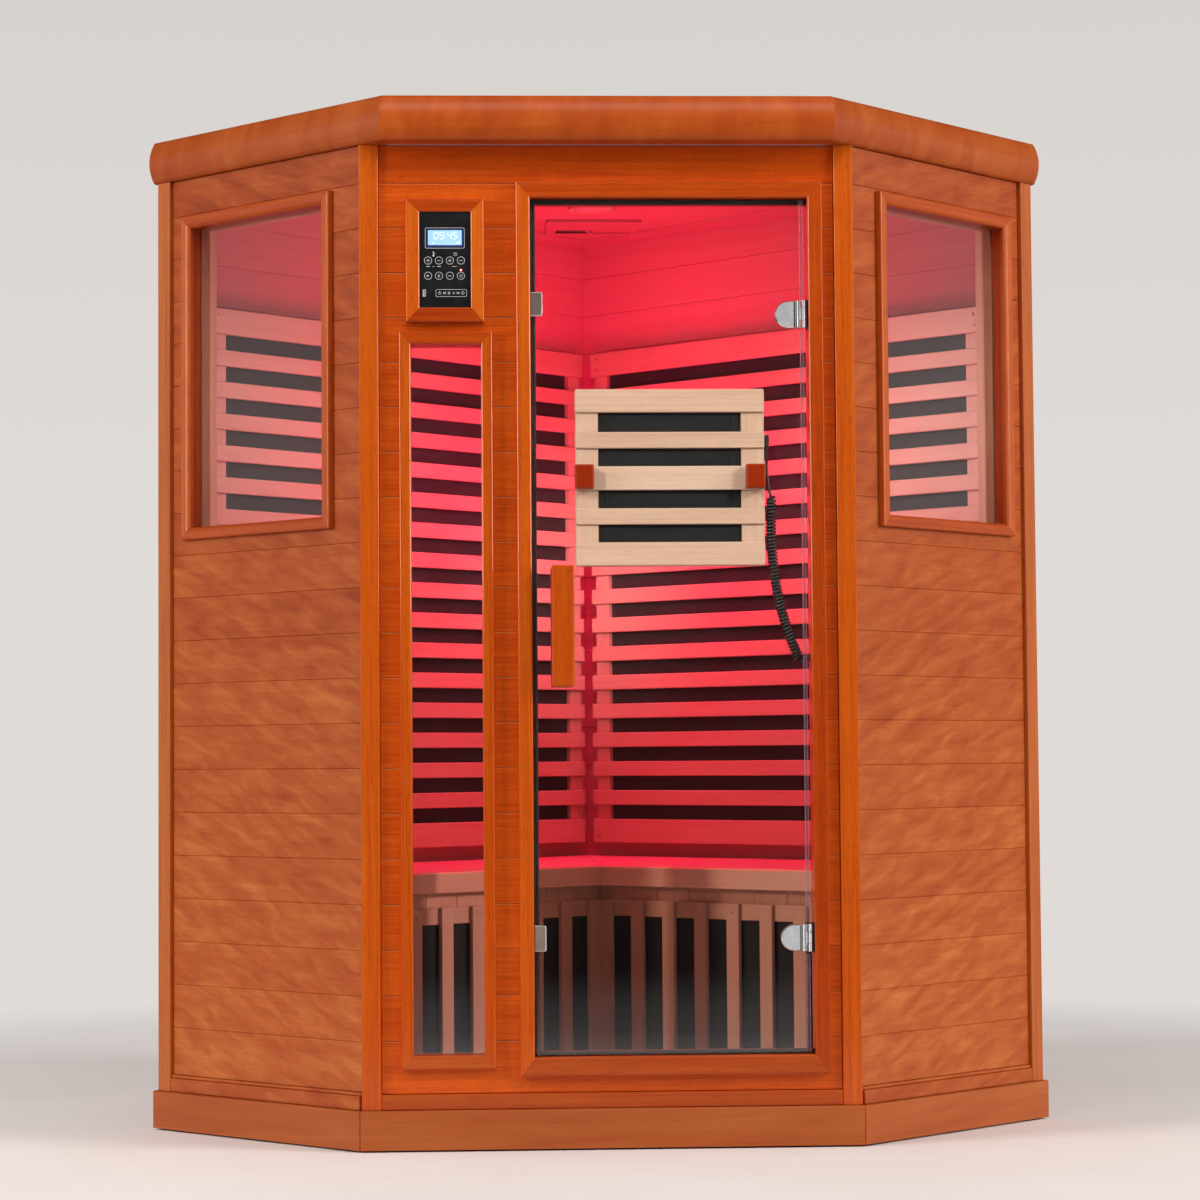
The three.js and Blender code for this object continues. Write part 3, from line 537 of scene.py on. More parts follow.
# A darker, redder mix of the front and wing stains, used on the level lengths, the side window casings and the front
# cornice. On the level lengths and the cornice it is painted shade, the level grain catching less sheen than upright
# grain.
LOWS = tuple((a[0], tuple((x + y) / 2 for x, y in zip(a[1], b[1]))) for a, b in zip(STAIN, WINGS))
m_trim = wood("stained_trim", STAIN, 0.12, 0.5, 0.4, 0.34, 0.45, band_scale=70.0, pores=0.6, lines=0.35, coat_rough=0.1)
m_low = wood("stained_low_rail", LOWS, 0.2, 0.4, 0.45, 0.36, 0.2, band_scale=60.0, pores=0.5, lines=0.3, fig_scale=(3.0, 22.0, 8.0), fig_turn=-0.06)
m_post = wood("stained_rear_post", WINGS, 0.12, 0.45, 0.4, 0.36, 0.2, band_scale=70.0, pores=0.5, lines=0.35)
m_plank = wood("stained_cladding", PLANK, 0.2, 0.45, 0.34, 0.36, 0.2, band_scale=45.0, pores=0.45, curl=0.14, lines=0.34)
m_wing = wood("stained_cladding_wing", WINGS, 0.95, 0.24, 0.2, 0.37, 0.1, pores=0.2, band_scale=34.0, fig_scale=(13.0, 44.0, 8.0), fig_turn=-0.33, fig_bend=0.5, lines=0.16)
# Front cornice in the darker, redder mix: painted shade against the side cornices.
m_roof_front = wood("stained_roof_front", LOWS, 0.6, 0.18, 0.24, 0.36, 0.1, pores=0.15, fig_scale=(20.0, 7.0, 7.0), fig_turn=0.2, lines=0.15)
m_roof = wood("stained_roof", WINGS, 0.6, 0.18, 0.24, 0.36, 0.1, pores=0.15, fig_scale=(20.0, 7.0, 7.0), fig_turn=0.2, lines=0.15)
m_plinth = wood("stained_plinth", SKIRT, 0.5, 0.22, 0.34, 0.36, 0.1, pores=0.2, fig_scale=(3.0, 24.0, 8.0), fig_turn=-0.06, lines=0.2)
m_hem = wood("hemlock", PALE, 0.10, 0.30, 0.5, 0.52, 0.0, pores=0.16, band_scale=40.0, lines=0.3)
# Copies of the hemlock for parts that are lit differently: painted light. The lining and slat copies have green and
# blue cut to stand in for the red lamp light on them. The bench copy is darker and warmer, painting in the dim warm
# light on the bench front. The leg copy is darker still, painted shade under the seat.
m_lining_reddened = wood("hemlock_lining", tuple((a, (c[0], c[1] * 0.68, c[2] * 0.95)) for a, c in PALE), 0.10, 0.30, 0.5, 0.52, 0.0, pores=0.16, band_scale=40.0, lines=0.3)
m_bench_shaded = wood("hemlock_bench", tuple((a, (c[0] * 0.93, c[1] * 0.72, c[2] * 0.68)) for a, c in PALE), 0.14, 0.35, 0.5, 0.52, 0.0, pores=0.2, band_scale=40.0, lines=0.35)
m_slat_reddened = wood("hemlock_slat", tuple((a, (c[0], c[1] * 0.76, c[2] * 0.90)) for a, c in PALE), 0.14, 0.35, 0.5, 0.52, 0.0, pores=0.2, band_scale=40.0, lines=0.35)
m_leg_shaded = wood("hemlock_leg", tuple((a, (c[0] * 0.68, c[1] * 0.51, c[2] * 0.48)) for a, c in PALE), 0.14, 0.35, 0.5, 0.52, 0.0, pores=0.2, band_scale=40.0, lines=0.35)
m_heat = wood("hemlock_heater", PALE, 0.3, 0.45, 0.7, 0.52, 0.0, pores=0.25, band_scale=26.0, fig_scale=(3.0, 16.0, 8.0), fig_turn=-0.2, lines=0.5)
m_block = wood("stained_blocks", ((0.0, (0.22, 0.016, 0.002)), (0.5, (0.35, 0.028, 0.003)), (1.0, (0.48, 0.055, 0.006))), 0.12, 0.3, 0.4, 0.34, 0.2, band_scale=70.0, lines=0.3)


def glass(name, tint, rough=0.0, shade=(0.93, 0.95, 0.94)):
    n = Nodes(name)
    n.p.inputs["Base Color"].default_value = (*tint, 1.0)
    n.p.inputs["Transmission Weight"].default_value = 1.0
    n.p.inputs["IOR"].default_value = 1.5
    n.p.inputs["Roughness"].default_value = rough
    clear = n.new("ShaderNodeBsdfTransparent", Color=(*shade, 1.0))
    path = n.new("ShaderNodeLightPath")
    mix = n.nt.nodes.new("ShaderNodeMixShader")
    n.set(mix.inputs[0], path.outputs["Is Shadow Ray"])
    n.set(mix.inputs[1], n.p.outputs[0])
    n.set(mix.inputs[2], clear.outputs[0])
    n.set(n.out.inputs["Surface"], mix.outputs[0])
    return n.m


# The side panes' cyan cast cuts the red seen through them. It is the glass's own slight tint, made stronger as painted
# shade for the dimmer red at the ends of the cabin.
m_glass = glass("clear_glass", (0.83, 0.955, 0.94), 0.0, (0.9, 0.9, 0.9))
m_door_glass = glass("clear_glass_door", (0.97, 0.985, 0.98), 0.0, (0.72, 0.72, 0.72))


def film(name, colour, alpha, rough):
    """Thin clear plastic."""
    n = Nodes(name)
    c = n.new("ShaderNodeTexCoord").outputs["Object"]
    a = n.noise(c, 40.0, 3.0, 0.6)
    n.set(n.p.inputs["Base Color"], n.ramp(a, ((0.3, tuple(x * 0.9 for x in colour)), (0.7, colour))))
    n.p.inputs["Roughness"].default_value = rough
    n.p.inputs["Alpha"].default_value = alpha
    return n.m


# Pink tint of the clear seal: painted red light from the cabin seen through it. Its edge strips are lighter: painted
# highlights on the seal's edges.
m_seal = film("clear_seal", (0.36, 0.20, 0.30), 0.22, 0.3)
m_seal_edge_glint = film("clear_seal_edge", (0.62, 0.46, 0.56), 0.40, 0.25)


def steel():
    n = Nodes("polished_steel")
    c = n.new("ShaderNodeTexCoord").outputs["Object"]
    s = n.noise(n.vec("MULTIPLY", c, (160.0, 160.0, 2400.0)), 1.0, 2.0, 0.5)
    w = n.noise(c, 55.0, 3.0, 0.6)
    n.set(n.p.inputs["Base Color"], n.ramp(w, ((0.3, (0.66, 0.66, 0.67)), (0.7, (0.80, 0.80, 0.81)))))
    n.p.inputs["Metallic"].default_value = 1.0
    n.set(n.p.inputs["Roughness"], n.remap(s, 0.3, 0.7, 0.13, 0.24))
    n.set(n.p.inputs["Normal"], n.bump(s, 0.05, 0.0001))
    return n.m


def plain(name, colour, rough, grain=900.0, vary=0.25, bump=0.12, metallic=0.0, coat=0.0):
    """Moulded or painted surface with a fine texture."""
    n = Nodes(name)
    c = n.new("ShaderNodeTexCoord").outputs["Object"]
    a = n.noise(c, grain, 3.0, 0.6)
    b = n.noise(c, grain / 40.0, 3.0, 0.6)
    lo = tuple(x * (1.0 - vary) for x in colour)
    hi = tuple(min(1.0, x * (1.0 + vary)) for x in colour)
    n.set(n.p.inputs["Base Color"], n.ramp(n.math("MULTIPLY_ADD", a, 0.5), ((0.25, lo), (0.85, hi))))
    ma = n.p.inputs["Base Color"].links[0].from_node.inputs[0].links[0].from_node
    n.set(ma.inputs[2], n.math("MULTIPLY", b, 0.5))
    n.set(n.p.inputs["Roughness"], n.remap(b, 0.3, 0.7, rough - 0.06, rough + 0.06))
    n.p.inputs["Metallic"].default_value = metallic
    n.p.inputs["Coat Weight"].default_value = coat
    n.set(n.p.inputs["Normal"], n.bump(a, bump, 0.0002))
    return n.m


def carbon(name, low, high):
    n = Nodes(name)
    g = n.attr("gco")
    weave = n.nt.nodes.new("ShaderNodeTexWave")
    weave.wave_type, weave.bands_direction = "BANDS", "X"
    n.set(weave.inputs["Vector"], g)
    weave.inputs["Scale"].default_value = 240.0
    weave.inputs["Distortion"].default_value = 1.2
    weave.inputs["Detail"].default_value = 1.0
    cross = n.nt.nodes.new("ShaderNodeTexWave")
    cross.wave_type, cross.bands_direction = "BANDS", "Y"
    n.set(cross.inputs["Vector"], g)
    cross.inputs["Scale"].default_value = 240.0
    cross.inputs["Distortion"].default_value = 1.2
    cross.inputs["Detail"].default_value = 1.0
    both = n.math("MULTIPLY", weave.outputs[1], cross.outputs[1])
    cloud = n.noise(g, 14.0, 3.0, 0.6)
    f = n.math("MULTIPLY_ADD", both, 0.18)
    n.set(f.node.inputs[2], n.math("MULTIPLY", cloud, 0.6))
    n.set(n.p.inputs["Base Color"], n.ramp(f, ((0.15, low), (0.8, high))))
    n.set(n.p.inputs["Roughness"], n.remap(cloud, 0.3, 0.7, 0.5, 0.66))
    n.p.inputs["Specular IOR Level"].default_value = 0.3
    n.set(n.p.inputs["Normal"], n.bump(both, 0.05, 0.0002))
    return n.m


def glow(name, colour, strength, base=(0.02, 0.02, 0.02), vary=0.12, scale=60.0):
    n = Nodes(name)
    c = n.new("ShaderNodeTexCoord").outputs["Object"]
    a = n.noise(c, scale, 2.0, 0.5)
    lo, hi = tuple(x * (1 - vary) for x in colour), tuple(min(1.0, x * (1 + vary)) for x in colour)
    n.p.inputs["Base Color"].default_value = (*base, 1.0)
    n.set(n.p.inputs["Emission Color"], n.ramp(a, ((0.3, lo), (0.7, hi))))
    n.p.inputs["Emission Strength"].default_value = strength
    n.p.inputs["Roughness"].default_value = 0.25
    return n.m


m_steel = steel()
m_satin = plain("satin_metal", (0.58, 0.52, 0.45), 0.40, 700.0, 0.12, 0.03, metallic=0.85)
# Near-white, part-metal bevel of the catch plates: a polished edge, lightened to paint in the highlight it catches.
m_edge_glint = plain("polished_edge", (0.86, 0.85, 0.83), 0.22, 700.0, 0.06, 0.02, metallic=0.35)
# Pale orange for the upward arrises of the front planks: a painted highlight where the plank joints catch the light
# from above.
m_arris_glint = plain("worn_arris", (0.66, 0.24, 0.085), 0.72, 700.0, 0.15, 0.05)
m_arris_glint.node_tree.nodes["Principled BSDF"].inputs["Specular IOR Level"].default_value = 0.12
m_black = plain("black_plastic", (0.011, 0.011, 0.012), 0.34, 1400.0, 0.3, 0.05, coat=0.1)
m_cord = plain("cord_jacket", (0.006, 0.0056, 0.0053), 0.4, 500.0, 0.25, 0.02, coat=0.0)
m_rubber = plain("black_rubber", (0.014, 0.0135, 0.013), 0.62, 700.0, 0.3, 0.2)
m_seal_black = plain("gasket_rubber", (0.022, 0.020, 0.018), 0.58, 600.0, 0.3, 0.2)
m_print = plain("white_print", (0.72, 0.73, 0.74), 0.5, 2500.0, 0.08, 0.05)
# Near black for the wall cores behind the boards and for the socket hole: painted shade, so the board gaps and the hole
# read dark.
m_shade_dark = plain("dark_gap", (0.012, 0.007, 0.005), 0.8, 500.0, 0.3, 0.2)
# Dull dark red for the liners and louvres inside the vent slot: painted shade in the duct.
m_duct_shade = plain("vent_duct", (0.25, 0.11, 0.085), 0.75, 500.0, 0.3, 0.2)
# Darker hemlock for thin rings round the vent frame and the lamp: painted shadow lines where they meet the ceiling.
m_ceiling_shadow = plain("ceiling_joint", (0.36, 0.17, 0.13), 0.7, 500.0, 0.2, 0.2)
m_sheet = plain("dust_sheet_board", (0.30, 0.285, 0.265), 0.62, 160.0, 0.18, 0.10)
m_brass = plain("yellow_zinc", (0.55, 0.42, 0.22), 0.3, 900.0, 0.2, 0.05, metallic=1.0)
# Same carbon panel throughout. The back and leg copies are lighter, painting in the light that falls on them.
m_carbon = carbon("carbon_heater", (0.0045, 0.0041, 0.0038), (0.013, 0.0118, 0.0108))
m_carbon_leg_lit = carbon("carbon_heater_leg", (0.0095, 0.0088, 0.0085), (0.023, 0.0212, 0.0205))
m_carbon_back_lit = carbon("carbon_heater_back", (0.030, 0.027, 0.026), (0.058, 0.053, 0.051))
m_lcd = glow("lcd_light", (0.42, 0.72, 0.93), 1.0, (0.05, 0.09, 0.12), 0.06, 30.0)
m_digit = glow("lcd_digits", (0.93, 0.98, 1.0), 1.15, (0.1, 0.1, 0.1), 0.02, 30.0)
m_lcd_edge = glow("lcd_edge", (0.05, 0.09, 0.55), 0.35, (0.01, 0.01, 0.05), 0.1, 30.0)
m_led = glow("led_red", (1.0, 0.30, 0.27), 5.0, (0.3, 0.0, 0.0), 0.02)
# Dim red glowing ring round the LED: a painted glow of the LED on the panel, not a lamp.
m_led_glow = glow("led_ring", (0.85, 0.012, 0.02), 0.75, (0.2, 0.0, 0.0), 0.1)
m_lens = glow("lamp_lens", (0.80, 0.035, 0.06), 0.55, (0.62, 0.45, 0.40), 0.1, 200.0)


# ------------------------------------------------------------------ cladding
def rows_of(rows, span, holes, gap):
    """Board outlines, row by row, stepped round rectangular openings."""
    out = []
    for z0, z1 in zip(rows, rows[1:]):
        cuts = sorted({span[0], span[1]} | {x for h in holes for x in h[:2] if span[0] < x < span[1] and h[2] < z1 and h[3] > z0})
        run = []
        for xa, xb in zip(cuts, cuts[1:]):
            mid, lo, hi = (xa + xb) / 2, z0 + gap / 2, z1 - gap / 2
            for h in holes:
                if h[0] < mid < h[1] and h[2] < z1 and h[3] > z0:
                    if h[2] <= z0 + 1 and h[3] >= z1 - 1:
                        hi = lo
                    elif h[2] <= z0 + 1:
                        lo = max(lo, h[3])
                    elif h[3] >= z1 - 1:
                        hi = min(hi, h[2])
            if hi - lo > 4.5:
                run.append((xa, xb, lo, hi))
            else:
                if run:
                    out.append(run)
                run = []
        if run:
            out.append(run)
    polys = []
    for run in out:
        low, high = [], []
        for xa, xb, lo, hi in run:
            low += [(xa, lo), (xb, lo)]
            high += [(xa, hi), (xb, hi)]
        poly = low + list(reversed(high))
        clean = []
        for i, p in enumerate(poly):
            a, b = poly[i - 1], poly[(i + 1) % len(poly)]
            if abs(p[0] - a[0]) + abs(p[1] - a[1]) < 1e-6:
                continue
            if (abs(p[0] - a[0]) < 1e-6 and abs(p[0] - b[0]) < 1e-6) or (abs(p[1] - a[1]) < 1e-6 and abs(p[1] - b[1]) < 1e-6):
                continue
            clean.append(p)
        polys.append(clean)
    return polys


# The tone rises row by row towards the bottom of the wall by the fall: painted light on the lower boards.
def clad(work, place, span, holes, d0, d1, outward=True, rows=ROWS, gap=0.5, ease=1.3, tone=0.0, painted_light_fall=0.0, rim=None):
    for poly in rows_of(rows, span, holes, gap):
        e = (ease, 0.0) if outward else (0.0, ease)
        mid = sum(p[1] for p in poly) / len(poly)
        work.prism(place, poly, "y", d0, d1, e[0], e[1], "x", tone + painted_light_fall * (900.0 - mid) / 900.0, rim=rim, up_only=True)


# The cores are made in the near-black material: painted shade seen through the board gaps.
def core(work, place, span, holes, d0, d1):
    marks = sorted({Z0, Z1} | {h[2] for h in holes} | {h[3] for h in holes})
    for poly in rows_of(marks, span, holes, 0.0):
        work.prism(place, poly, "y", d0, d1, 0, 0, "x")


def screw(work, place, x, y, z, axis="y", r=3.2, mat=None, out=-1.0):
    """Countersunk head with a driver recess; out is the way the head faces along the axis."""
    a = {"y": (x, z), "z": (x, y), "x": (y, z)}[axis]
    p = {"y": y, "z": z, "x": x}[axis]
    prof = [(0.05 * r, p - out * 0.9), (0.62 * r, p - out * 0.9), (r, p - out * 0.15), (0.93 * r, p + out * 0.12),
            (0.45 * r, p + out * 0.22), (0.34 * r, p - out * 0.35), (0.05 * r, p - out * 0.45)]
    work.lathe(place, a, axis, prof, 14, mat or m_steel, False)


# ------------------------------------------------------------------ plinth and floor
w = Work("plinth_boards", m_plinth, slot="stained_wood", replaces=("base_plinth",))
o, i5 = outline(9, 8, 8), outline(-41, -42, -42)
for k in range(5):
    p, q = o[k], o[(k + 1) % 5]
    pl = side_place(p, q)
    n = math.hypot(q[0] - p[0], q[1] - p[1])

    def local(pt):
        dx, dy = pt[0] - pl.o[0], pt[1] - pl.o[1]
        return (dx * pl.c + dy * pl.s, -dx * pl.s + dy * pl.c)

    a, b = local(i5[(k + 1) % 5]), local(i5[k])
    poly = [(0.15, 0.0), (n - 0.15, 0.0), (a[0] - 0.15, a[1]), (b[0] + 0.15, b[1])]
    w.prism(pl, eased(poly, [1.6, 1.6, 0, 0]), "z", 3.2, BASE_H - 0.1, 0.8, 1.8, "x", 0.0)
w.done()

w = Work("plinth_pads", m_rubber, slot="black_rubber")
pads = []
for k in range(5):
    p, q = o[k], o[(k + 1) % 5]
    pl = side_place(p, q)
    n = math.hypot(q[0] - p[0], q[1] - p[1])
    for u in (60, n / 2 - 60, n / 2 + 60, n - 60) if n > 700 else (50, n / 2, n - 50):
        w.prism(pl, eased(rect(u - 28, u + 28, 5, 42), 4), "z", 0.0, 3.1, 0.4, 0.0)
w.done()

w = Work("floor_boards", m_hem, slot="hemlock", replaces=("floor_panel",))
fence = outline(-41.6, -42.6, -42.6)
y = -10.0
while y < 1200:
    poly = clip(rect(-900, 900, y + 0.3, y + 91.7), fence)
    if len(poly) > 2:
        area = abs(sum(poly[j - 1][0] * poly[j][1] - poly[j][0] * poly[j - 1][1] for j in range(len(poly)))) / 2
        if area > 900:
            w.prism(CAB, poly, "z", 45.4, BASE_H - 0.1, 0, 0.9, "x", 0.0)
    y += 92.0
w.done()

# ------------------------------------------------------------------ front wall
front_holes = [(-160, 386, 136, 1738), (-360, -225, 166, 1451), (-343, -243, 1510, 1691)]
w = Work("front_cladding", m_plank, slot="stained_wood", replaces=("front_wall",))
# The upper arris of each front plank takes the pale material: a painted highlight along the joints.
clad(w, CAB, (-413.6, 413.6), front_holes, RECESS, 20.0, ease=1.2, tone=0.30, painted_light_fall=0.12, rim=m_arris_glint)
w.done()

w = Work("front_posts", m_trim, slot="stained_wood")
half = FRONT_W / 2
left = [(-half + 0.3, 0.0), (-half + POST_W, 0.0), (-half + POST_W, 49.8), (-half + MITRE * 49.8 + 0.3, 49.8)]
w.prism(CAB, eased(left, [2.2, 1.6, 0, 0], 4), "z", Z0, Z1, 0.6, 0, "z", 0.50, painted_light_slope=0.10)
w.prism(CAB, eased([(-x, y) for x, y in reversed(left)], [0, 0, 1.6, 2.2], 4), "z", Z0, Z1, 0.6, 0, "z", 0.50, painted_light_slope=0.10)
w.board(CAB, (-413.7, 413.7), (0.6, 49.5), (Z0, 101.0), 1.8, "x", -0.08, mat=m_low)
w.done()

w = Work("front_core", m_shade_dark, slot="stained_wood")
core(w, CAB, (-413.4, 413.4), front_holes, 20.2, 37.8)
w.done()

w = Work("front_lining", m_hem, slot="hemlock")
clad(w, CAB, (-428.8, 428.8), front_holes[:2], 38.0, 49.8, False)
w.done()

# Door frame: mitred casing, jamb lining behind it, and the stop the leaf closes against.
CASING = [(0.0, 7.6), (0.0, -5.4), (0.025, -6.8), (0.07, -7.7), (0.13, -8.0), (0.86, -8.0), (0.92, -7.7), (0.97, -6.8), (1.0, -5.2), (1.0, 7.6)]
w = Work("door_casing", m_trim, slot="stained_wood", replaces=("door_frame",))
w.picture_frame(CAB, DOOR_CASING, DOOR_CLEAR, CASING, (0.02, 0.0, -0.04, 0.50), (m_low, None, None, None), painted_light_slope=0.06)
w.board(CAB, (-159.6, -139.6), (7.8, 49.9), (136.4, 1737.6), 0.8, "z", 0.1)
w.board(CAB, (365.1, 385.6), (7.8, 49.9), (136.4, 1737.6), 0.8, "z", 0.1)
w.board(CAB, (-139.4, 364.9), (7.8, 49.9), (1714.1, 1737.6), 0.8, "x", 0.0)
w.board(CAB, (-139.4, 364.9), (7.8, 49.9), (136.4, 164.9), 0.8, "x", 0.0)
w.board(CAB, (-139.5, -131.2), (22.0, 49.8), (165.1, 1713.9), 1.5, "z", 0.0)
w.board(CAB, (-131.0, 364.8), (22.0, 49.8), (1705.2, 1713.9), 1.5, "x", 0.0)
w.board(CAB, (-131.0, 364.8), (22.0, 49.8), (165.1, 172.6), 1.5, "x", 0.0)
w.done()

w = Work("door_gasket_strip", m_seal_black, slot="black_rubber", replaces=("door_gasket",))
for x, z, g in (((-139.2, -129.6), (165.4, 1713.6), "z"), ((-129.4, 364.6), (1703.4, 1713.6), "x"), ((-129.4, 364.6), (165.4, 174.2), "x")):
    w.board(CAB, x, (18.6, 21.7), z, 0.8, g)
    if g == "z":
        w.board(CAB, (x[0] + 4.0, x[1] - 0.4), (16.5, 20.0), z, 1.6, g)
    elif z[0] > 1000:
        w.board(CAB, x, (16.5, 20.0), (z[0] + 0.4, z[1] - 4.0), 1.6, g)
    else:
        w.board(CAB, x, (16.5, 20.0), (z[0] + 4.0, z[1] - 0.4), 1.6, g)
w.done()

# Narrow fixed window beside the door.
BEAD = [(0.0, 7.6), (0.0, -2.6), (0.03, -3.9), (0.08, -4.7), (0.15, -5.0), (0.80, -5.0), (0.88, -4.7), (0.95, -3.8), (1.0, -2.2), (1.0, 7.6)]
w = Work("narrow_window_casing", m_trim, slot="stained_wood", replaces=("narrow_window_moulding",))
w.picture_frame(CAB, NARROW_OUT, NARROW_IN, BEAD, (0.10, 0.34, -0.04, 0.48), (m_low, None, None, None), painted_light_slope=0.06)
x0, x1, z0, z1 = NARROW_IN
for y0, y1 in ((7.8, 11.8), (17.2, 49.8)):
    w.board(CAB, (-359.8, x0), (y0, y1), (166.2, 1450.8), 0.5, "z", 0.0)
    w.board(CAB, (x1, -225.2), (y0, y1), (166.2, 1450.8), 0.5, "z", 0.0)
    w.board(CAB, (x0 + 0.1, x1 - 0.1), (y0, y1), (z1, 1450.8), 0.5, "x", 0.0)
    w.board(CAB, (x0 + 0.1, x1 - 0.1), (y0, y1), (166.2, z0), 0.5, "x", 0.0)
w.done()
INNER = [(0.0, 50.0), (0.0, 56.0), (0.08, 57.6), (0.2, 58.2), (0.85, 58.2), (0.95, 57.4), (1.0, 56.0), (1.0, 50.0)]
w = Work("narrow_window_inner_trim", m_hem, slot="hemlock")
w.picture_frame(CAB, (-382, -203, 144, 1473), NARROW_IN, INNER, (0.0, 0.05, 0.0, 0.05))
w.done()

# ------------------------------------------------------------------ wings
side_hole = [(95.0, 471.0, 1137.0, 1718.0)]
SIDE_BEAD = [(0.0, 7.6), (0.0, -1.8), (0.03, -3.0), (0.08, -3.7), (0.15, -4.0), (0.62, -4.0), (0.80, -3.0), (0.94, -1.0), (1.0, 0.6), (1.0, 7.6)]
SIDE_TRIM = [(0.0, 50.0), (0.0, 67.0), (0.08, 69.6), (0.2, 70.6), (0.85, 70.6), (0.95, 69.6), (1.0, 67.6), (1.0, 50.0)]
for tag, pl in (("left", WL), ("right", WR)):
    w = Work(f"wing_cladding_{tag}", m_wing, slot="stained_wood", replaces=(f"wing_wall_{tag}",))
    clad(w, pl, (RECESS * MITRE + 0.5, WING - POST_W - 0.6), side_hole, RECESS, 20.0, rows=[105.6] + ROWS[1:], gap=0.3, ease=0.8, tone=-0.03 if tag == "left" else 0.03, painted_light_fall=0.24)
    w.done()
    w = Work(f"wing_posts_{tag}", m_post, slot="stained_wood")
    w.prism(pl, eased(rect(WING - POST_W, WING - 0.1, 0.0, 49.8), [1.6, 2.4, 2.0, 0], 4), "z", Z0, Z1, 0.6, 0, "z", 0.36 if tag == "left" else 0.16)
    w.done()
    w = Work(f"wing_rail_{tag}", m_wing, slot="stained_wood")
    w.board(pl, (5.5, WING - POST_W - 0.3), (0.5, 49.5), (Z0, 99.0), 1.8, "x", 0.0)
    w.board(pl, (4.4, WING - POST_W - 0.4), (4.2, 12.0), (99.2, 105.2), 1.8, "x", 0.1)
    w.done()
    w = Work(f"wing_core_{tag}", m_shade_dark, slot="stained_wood")
    core(w, pl, (20.2 * MITRE, WING - POST_W), side_hole, 20.2, 37.8)
    w.done()
    w = Work(f"wing_lining_{tag}", m_lining_reddened, slot="hemlock")
    clad(w, pl, (WALL_T * MITRE + 0.6, WING - 0.4), side_hole, 38.0, 49.8, False)
    w.done()
    w = Work(f"side_window_casing_{tag}", m_trim, slot="stained_wood", replaces=(f"side_window_moulding_{tag}",))
    w.picture_frame(pl, SIDE_OUT, SIDE_IN, SIDE_BEAD, (-0.05, 0.2, -0.05, 0.2), (m_low, m_low, m_low, m_low))
    u0, u1, z0, z1 = SIDE_IN
    # The inner reveal boards take the darkened leg hemlock: painted shade in the reveal.
    for y0, y1, wd in ((7.8, 25.8, None), (31.2, 49.8, m_leg_shaded)):
        w.board(pl, (95.2, u0), (y0, y1), (1137.2, 1717.8), 0.5, "z", -0.1, mat=wd)
        w.board(pl, (u1, 470.8), (y0, y1), (1137.2, 1717.8), 0.5, "z", -0.1, mat=wd)
        w.board(pl, (u0 + 0.1, u1 - 0.1), (y0, y1), (z1, 1717.8), 0.5, "x", -0.1, mat=wd)
        w.board(pl, (u0 + 0.1, u1 - 0.1), (y0, y1), (1137.2, z0), 0.5, "x", -0.1, mat=wd)
    w.done()
    # Inner trim in the darker bench hemlock: painted shade.
    w = Work(f"side_window_inner_trim_{tag}", m_bench_shaded, slot="hemlock")
    w.picture_frame(pl, (74, 494, 1116, 1739), SIDE_IN, SIDE_TRIM, (-0.2, -0.3, -0.2, -0.3))
    w.done()

# ------------------------------------------------------------------ back walls
for tag, pl, u_start in (("left", BL, 0.0), ("right", BR, WALL_T + 0.3)):
    w = Work(f"back_cladding_{tag}", m_wing, slot="stained_wood", replaces=(f"back_wall_{tag}",))
    clad(w, pl, (u_start + POST_W + 0.4 if tag == "left" else u_start + 0.3, END - 0.3 - POST_W), [], 3.0, 15.0, rows=[105.6] + ROWS[1:], gap=0.4, ease=1.0, painted_light_fall=0.12)
    w.done()
    w = Work(f"back_rail_{tag}", m_wing, slot="stained_wood")
    u0, u1 = (u_start + POST_W + 0.4, END - POST_W - 0.3) if tag == "left" else (u_start + 0.3, END - POST_W - 0.3)
    w.board(pl, (u0, u1), (0.5, 15.0), (Z0, 99.0), 1.8, "x", 0.0)
    w.board(pl, (u0, u1), (1.6, 12.0), (99.2, 105.2), 1.8, "x", 0.1)
    w.done()
    w = Work(f"back_posts_{tag}", m_post, slot="stained_wood")
    w.prism(pl, eased(rect(END - POST_W, END, 0.0, 49.8), [1.6, 2.0, 0, 0], 4), "z", Z0, Z1, 0.6, 0, "z", 0.1)
    if tag == "left":
        w.prism(pl, eased(rect(0.0, POST_W, 0.0, 49.8), [2.4, 1.6, 0, 0], 4), "z", Z0, Z1, 0.6, 0, "z", 0.1)
    w.done()
    w = Work(f"back_core_{tag}", m_shade_dark, slot="stained_wood")
    w.prism(pl, rect(u_start + (POST_W if tag == "left" else 0.0), END - POST_W, 15.2, 37.8), "z", Z0, Z1)
    w.done()
    w = Work(f"back_lining_{tag}", m_lining_reddened, slot="hemlock")
    clad(w, pl, (38.6 if tag == "left" else 49.9, END), [], 38.0, 49.8, False)
    w.done()

